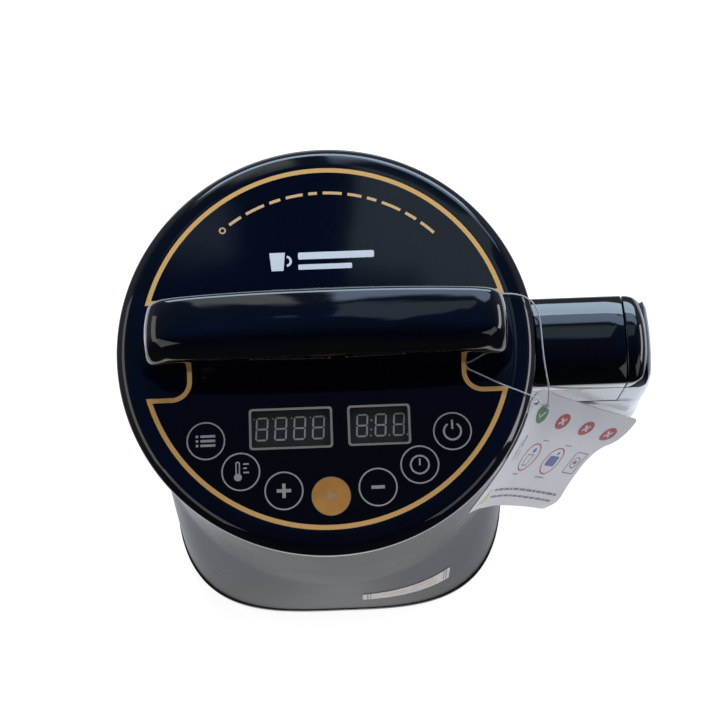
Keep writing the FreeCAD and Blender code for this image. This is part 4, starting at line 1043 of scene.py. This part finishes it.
def fine_plate(loops, z0, z1, step):
    """Flat plate mesh (mm) split by a grid so that it can follow the card's curve."""
    me = filled(loops, z0, z1)
    bm = bmesh.new()
    bm.from_mesh(me)
    xs = [v_.co.x for v_ in bm.verts]; ys = [v_.co.y for v_ in bm.verts]
    for axis, lo_, hi_ in ((0, min(xs), max(xs)), (1, min(ys), max(ys))):
        k = lo_ + step
        while k < hi_ - step * 0.3:
            co = [0, 0, 0]; no = [0, 0, 0]
            co[axis] = k; no[axis] = 1
            bmesh.ops.bisect_plane(bm, geom=bm.verts[:] + bm.edges[:] + bm.faces[:], plane_co=co, plane_no=no, dist=1e-5)
            k += step
    bm.to_mesh(me)
    bm.free()
    return me


def tag_plate(name, loops, z0, z1, material, step=4.0):
    me = fine_plate(loops, z0, z1, step)
    for v_ in me.vertices:
        v_.co = tag_map(v_.co)
    return finish_mesh(me, material, name, "head")


HOLE_UV = (4.9, 7.0)
card_loop = rounded([(0, 0, 3.0), (TAG_L, 0, 2.0), (TAG_L, TAG_H, 2.0), (0, TAG_H, 1.0)], 6)
card = tag_plate("info_card", [card_loop, circle(*HOLE_UV, 1.9, 28)], 0.0, 0.42, MT["card"], 2.0)
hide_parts("hang_tag")
C0, C1 = 0.445, 0.475


def uv(s, t):
    return (t * TAG_L, s * TAG_H)


def tag_print(name, loops, mt, lift=0.0, step=3.0):
    return tag_plate(name, loops, C0 + lift, C1 + lift, MT[mt], step)


def cross_loop(cx, cy, k, w_):
    base = [(-w_, -k), (w_, -k), (w_, -w_), (k, -w_), (k, w_), (w_, w_), (w_, k), (-w_, k), (-w_, w_), (-k, w_), (-k, -w_), (-w_, -w_)]
    c = math.cos(math.pi / 4)
    return [(cx + c * (x - y), cy + c * (x + y)) for x, y in base]


u0, v0 = uv(0.193, 0.178)
tick = stroke([(u0 - 2.1, v0 + 0.1), (u0 - 0.6, v0 + 1.7), (u0 + 2.3, v0 - 1.7)], 0.95)
tag_print("tag_tick_disc", [circle(u0, v0, 4.5, 48), tick], "green_ink")
discs = []
for s, t in ((0.197, 0.402), (0.201, 0.646), (0.202, 0.871)):
    cx, cy = uv(s, t)
    discs += [circle(cx, cy, 4.4, 48), cross_loop(cx, cy, 2.5, 0.6)]
tag_print("tag_cross_discs", discs, "red_ink")
# pictograms: two ringed jugs and an outlined box, all generic
p1, p2, p3 = uv(0.55, 0.345), uv(0.56, 0.63), uv(0.55, 0.90)
rings_ = []
for cx, cy in (p1, p2):
    rings_ += [circle(cx, cy, 7.4, 56), circle(cx, cy, 6.75, 56)]
tag_print("tag_rings", rings_, "red_ink")
tag_print("tag_jug_a", [offset_loop([(p1[0] - 3.0, p1[1] - 1.5), (p1[0] + 3.0, p1[1] - 1.5), (p1[0] + 2.4, p1[1] + 4.6), (p1[0] - 2.4, p1[1] + 4.6)], 0.0),
                        [(p1[0] - 2.5, p1[1] - 1.0), (p1[0] + 2.5, p1[1] - 1.0), (p1[0] + 2.0, p1[1] + 4.1), (p1[0] - 2.0, p1[1] + 4.1)]], "text_ink")
tag_print("tag_drops", [circle(p1[0] + 0.8, p1[1] - 3.6, 1.3, 20), rrect(p2[0] - 4.2, p2[0] + 4.4, p2[1] - 2.6, p2[1] + 2.8, 1.2), circle(p2[0] + 1.0, p2[1] - 4.2, 0.9, 16)], "blue_ink")
tag_print("tag_box", [rrect(p3[0] - 5.6, p3[0] + 4.6, p3[1] - 6.2, p3[1] + 5.8, 0.8), rrect(p3[0] - 5.1, p3[0] + 4.1, p3[1] - 5.7, p3[1] + 5.3, 0.5),
                      circle(p3[0] - 0.5, p3[1] - 0.2, 3.1, 40), circle(p3[0] - 0.5, p3[1] - 0.2, 2.6, 40)], "text_ink")
tag_print("tag_box_marks", [circle(p3[0] - 0.5, p3[1] - 0.2, 1.1, 24)], "red_ink")
gu, gv = uv(0.44, 0.135)
tag_print("tag_small_marks", [rrect(gu - 0.6, gu + 0.5, gv - 4.2, gv + 1.6, 0.3)], "green_ink")
tag_print("tag_small_lines", [rrect(gu - 3.4, gu - 2.9, gv - 1.5, gv + 5.0, 0), rrect(gu - 2.2, gu - 1.8, gv + 2.6, gv + 8.2, 0), rrect(gu + 1.4, gu + 1.8, gv + 3.0, gv + 7.4, 0),
                              rrect(p1[0] - 6.0, p1[0] - 1.0, p1[1] + 8.6, p1[1] + 9.2, 0), rrect(p2[0] - 5.0, p2[0] + 3.0, p2[1] + 8.8, p2[1] + 9.3, 0),
                              rrect(p1[0] + 2.0, p1[0] + 6.6, p1[1] - 9.6, p1[1] - 9.1, 0), rrect(p2[0] + 1.0, p2[0] + 6.0, p2[1] - 9.4, p2[1] - 8.9, 0)], "text_ink")
tu, tv = uv(0.90, 0.105)
tag_print("tag_triangle", [[(tu - 3.4, tv + 3.4), (tu + 3.6, tv + 2.2), (tu + 1.0, tv - 5.2)], [(tu - 1.5, tv + 2.0), (tu + 1.9, tv + 1.4), (tu + 0.7, tv - 2.6)]], "yellow_ink")
lines = []
for s_, t_a, t_b, seed in ((0.83, 0.17, 0.93, 3), (0.89, 0.18, 0.93, 5)):
    u_, end = t_a * TAG_L, t_b * TAG_L
    k = seed
    while u_ < end - 1.0:
        k = (k * 37 + 11) % 101
        ln = 2.2 + 3.6 * (k / 101.0)
        ln = min(ln, end - u_)
        v_ = s_ * TAG_H
        lines.append(rrect(u_, u_ + ln, v_ - 0.55, v_ + 0.55, 0))
        u_ += ln + 0.9
tag_print("tag_text_bars", lines, "text_ink")

# ================= string =================================================
HOLE_P = TAGV[0][0].lerp(TAGV[0][0], 0)
hole_w = tag_point(HOLE_UV[1] / TAG_H, HOLE_UV[0] / TAG_L)
K = Vector((82.46, -24.44, 195.64))
ROUTE = [(K.x, K.y, K.z), (80.6, -24.1, ZT - 4.6), (76.3, -22.9, ZT + 0.5), (64.9, -18.2, ZT + 1.3), (56.2, -13.4, ZT + 1.1), (52.0, -11.4, ZT + 1.1), (51.2, -4.0, ZT + 1.1),
         (51.2, 4.0, ZT + 1.1), (52.4, 11.8, ZT + 1.1), (58.0, 15.0, ZT + 1.2), (64.0, 16.6, ZT + 1.4), (70.0, 17.0, ZT + 1.4), (75.5, 16.0, ZT + 1.2), (79.8, 13.6, ZT - 0.6),
         (81.7, 8.5, ZT - 1.6), (82.0, 2.5, ZT - 1.9), (82.3, -6.8, ZT - 2.6), (83.2, -14.0, ZT - 4.2), (84.2, -19.4, ZT - 6.2), (K.x + 1.2, K.y - 0.6, K.z + 1.4)]
cu = bpy.data.curves.new("nylon_loop", "CURVE")
cu.dimensions = "3D"
sp_ = cu.splines.new("NURBS")
sp_.points.add(len(ROUTE) - 1)
for q, p in zip(sp_.points, ROUTE):
    q.co = (*M(*p), 1.0)
sp_.order_u = 3
sp_.use_endpoint_u = True
sp_.resolution_u = 12
cu.bevel_depth = 0.0003
cu.bevel_resolution = 5
cu.use_fill_caps = True
cu.materials.append(MT["nylon"])
string = bpy.data.objects.new("nylon_loop", cu)
scene.collection.objects.link(string)
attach(string, "head")
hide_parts("tag_string")

# knot: a short overhand bundle at the card's hole
knot_pts = []
kc = Vector((K.x + 0.6, K.y - 0.4, K.z + 0.8))
for i in range(33):
    a = 2 * math.pi * i / 32
    knot_pts.append(kc + Vector(((math.sin(a) + 2 * math.sin(2 * a)) * 0.42, (math.cos(a) - 2 * math.cos(2 * a)) * 0.42, -math.sin(3 * a) * 0.5)))
rings = []
for i, p in enumerate(knot_pts[:-1]):
    t_ = (knot_pts[(i + 1) % 32] - knot_pts[i - 1]).normalized()
    a_ = t_.orthogonal().normalized()
    b_ = t_.cross(a_)
    if rings:
        a_ = (prev_a - t_ * prev_a.dot(t_)).normalized()
        b_ = t_.cross(a_)
    prev_a = a_
    rings.append([M(*(p + a_ * 0.3 * math.cos(q) + b_ * 0.3 * math.sin(q))) for q in [2 * math.pi * j / 10 for j in range(10)]])
vs, fs = from_rings(rings, closed=True)
knot = finish_mesh(mesh_of("string_knot", vs, fs), MT["nylon"], "string_knot", "head")

# ================= CAD nodes: smooth shading ==============================
for name, o in NODES.items():
    me = o.data
    if "custom_normal" in me.attributes:
        me.attributes.remove(me.attributes["custom_normal"])
    me.shade_smooth()
    me.set_sharp_from_angle(angle=math.radians(30))

# ================= floor, light ===========================================
fm = Mat("light_table", (0.60, 0.60, 0.605), 0.85)
fn = fm.noise(6.0, 3.0)
fm.vary_color(fn, (0.59, 0.59, 0.595), (0.61, 0.61, 0.615))
fm.vary_rough(fn, 0.8, 0.9)
fm.b.inputs["Emission Color"].default_value = (1, 1, 1, 1)
fm.b.inputs["Emission Strength"].default_value = 0.84
me = bpy.data.meshes.new("floor")
me.from_pydata([(-0.55, -0.36, 0), (0.55, -0.36, 0), (0.9, 1.1, 0), (-0.9, 1.1, 0)], [], [(0, 1, 2, 3)])
me.materials.append(fm.m)
floor = bpy.data.objects.new("floor", me)
scene.collection.objects.link(floor)

world = bpy.data.worlds.new("studio")
scene.world = world
world.use_nodes = True
nt = world.node_tree
bgn = nt.nodes["Background"]


def wn(kind, *links, **kw):
    n = nt.nodes.new(kind)
    for k, v in kw.items():
        setattr(n, k, v)
    for i, a in enumerate(links):
        if a is None:
            continue
        if isinstance(a, (int, float)):
            n.inputs[i].default_value = a
        else:
            nt.links.new(a, n.inputs[i])
    return n


def wmath(op, a, b=None):
    return wn("ShaderNodeMath", a, b, operation=op).outputs[0]


def step(v, lo_, hi_):
    n = wn("ShaderNodeMapRange", v, interpolation_type="SMOOTHSTEP")
    n.inputs["From Min"].default_value = lo_
    n.inputs["From Max"].default_value = hi_
    return n.outputs[0]


tc = wn("ShaderNodeTexCoord")
sep = wn("ShaderNodeSeparateXYZ", tc.outputs["Generated"])
cloud = wn("ShaderNodeTexNoise", tc.outputs["Generated"])
cloud.inputs["Scale"].default_value = 5.5
cloud.inputs["Detail"].default_value = 3.0
wob = wmath("MULTIPLY", wmath("SUBTRACT", cloud.outputs["Fac"], 0.5), 14.0)
az = wmath("MULTIPLY", wmath("ARCTAN2", sep.outputs["X"], sep.outputs["Y"]), 180 / math.pi)
el_deg = wmath("MULTIPLY", wmath("ARCSINE", sep.outputs["Z"]), 180 / math.pi)
el_w = wmath("ADD", el_deg, wob)
az_w = wmath("ADD", az, wmath("MULTIPLY", wob, 0.5))


def patch(a0, a1, e0, e1, soft_a, soft_e, warped=True):
    a_, e_ = (az_w, el_w) if warped else (az, el_deg)
    m1 = wmath("MULTIPLY", step(a_, a0 - soft_a, a0 + soft_a), step(a_, a1 + soft_a, a1 - soft_a))
    m2 = wmath("MULTIPLY", step(e_, e0 - soft_e, e0 + soft_e), step(e_, e1 + soft_e, e1 - soft_e))
    return wmath("MULTIPLY", m1, m2)


ramp = wn("ShaderNodeValToRGB", wmath("MULTIPLY", wmath("ADD", el_deg, 90.0), 1 / 180.0))
ramp.color_ramp.interpolation = "EASE"
stops = ((-90, (0.22, 0.22, 0.22)), (-8, (0.20, 0.205, 0.215)), (10, (0.24, 0.255, 0.28)), (34, (0.13, 0.15, 0.19)), (52, (0.060, 0.075, 0.11)), (64, (0.030, 0.058, 0.13)),
         (72, (0.022, 0.055, 0.20)), (78, (0.030, 0.045, 0.085)), (90, (0.035, 0.045, 0.06)))
els = ramp.color_ramp.elements
els[0].position, els[0].color = 0.0, (*stops[0][1], 1)
els[1].position, els[1].color = 1.0, (*stops[-1][1], 1)
for deg, c in stops[1:-1]:
    e_ = els.new((deg + 90) / 180.0)
    e_.color = (*c, 1)
front_dim = wn("ShaderNodeMapRange", sep.outputs["Y"], interpolation_type="SMOOTHSTEP")
front_dim.inputs["From Min"].default_value = -0.55
front_dim.inputs["From Max"].default_value = 0.25
front_dim.inputs["To Min"].default_value = 0.16
front_dim.inputs["To Max"].default_value = 1.0


def scaled(color_out, fac):
    n = wn("ShaderNodeVectorMath", operation="SCALE")
    nt.links.new(color_out, n.inputs[0])
    nt.links.new(fac, n.inputs["Scale"])
    return n.outputs[0]


def added(a, b):
    n = wn("ShaderNodeVectorMath", operation="ADD")
    nt.links.new(a, n.inputs[0])
    nt.links.new(b, n.inputs[1])
    return n.outputs[0]


def tint(c):
    n = wn("ShaderNodeCombineXYZ")
    for i in range(3):
        n.inputs[i].default_value = c[i]
    return n.outputs[0]


sky = scaled(ramp.outputs["Color"], front_dim.outputs[0])
for color, mask in (
    ((1.55, 2.00, 2.80), patch(-1.0, 42, 36, 54, 0.8, 2.0)),       # bright sky to the rear right
    ((1.05, 1.10, 1.00), patch(-27, -7.6, 38, 53.5, 1.4, 2.0)),     # dim gap in the trees, rear left
    ((0.34, 0.44, 0.44), patch(0.2, 34, 58, 75, 0.8, 1.2)),        # grey haze above it
    ((0.22, 0.29, 0.36), patch(-21, -12, 70.3, 73.6, 1.6, 0.8)),   # faint cloud, left
):
    sky = added(sky, scaled(tint(color), mask))
nt.links.new(sky, bgn.inputs["Color"])
bgn.inputs["Strength"].default_value = 1.0


def area(name, loc, target, size, power, color=(1, 1, 1), size_y=None):
    ld = bpy.data.lights.new(name, "AREA")
    ld.energy = power
    ld.color = color
    ld.shape = "RECTANGLE" if size_y else "SQUARE"
    ld.size = size
    if size_y:
        ld.size_y = size_y
    lo_ = bpy.data.objects.new(name, ld)
    scene.collection.objects.link(lo_)
    lo_.location = loc
    d = Vector(target) - Vector(loc)
    lo_.rotation_euler = d.to_track_quat("-Z", "Y").to_euler()
    return lo_


area("softbox_rear", (0.10, 1.6, 0.95), (0, 0, 0.15), 2.0, 31, (0.62, 0.81, 1.0), 0.7)
area("softbox_left", (-1.6, 0.1, 1.1), (0, 0, 0.1), 1.6, 6, (1.0, 0.97, 0.86), 0.8)
area("softbox_right", (1.5, 0.1, 0.75), (0, 0, 0.15), 1.3, 9, (0.97, 0.99, 1.0), 0.5)
area("front_left", (-1.3, -0.95, 1.45), (0, 0, 0.1), 0.9, 2.6, (1.0, 0.97, 0.92))
area("front_right", (1.3, -1.05, 1.4), (0, 0, 0.1), 0.9, 2.4, (0.95, 0.98, 1.0))
scene.view_settings.view_transform = "Standard"
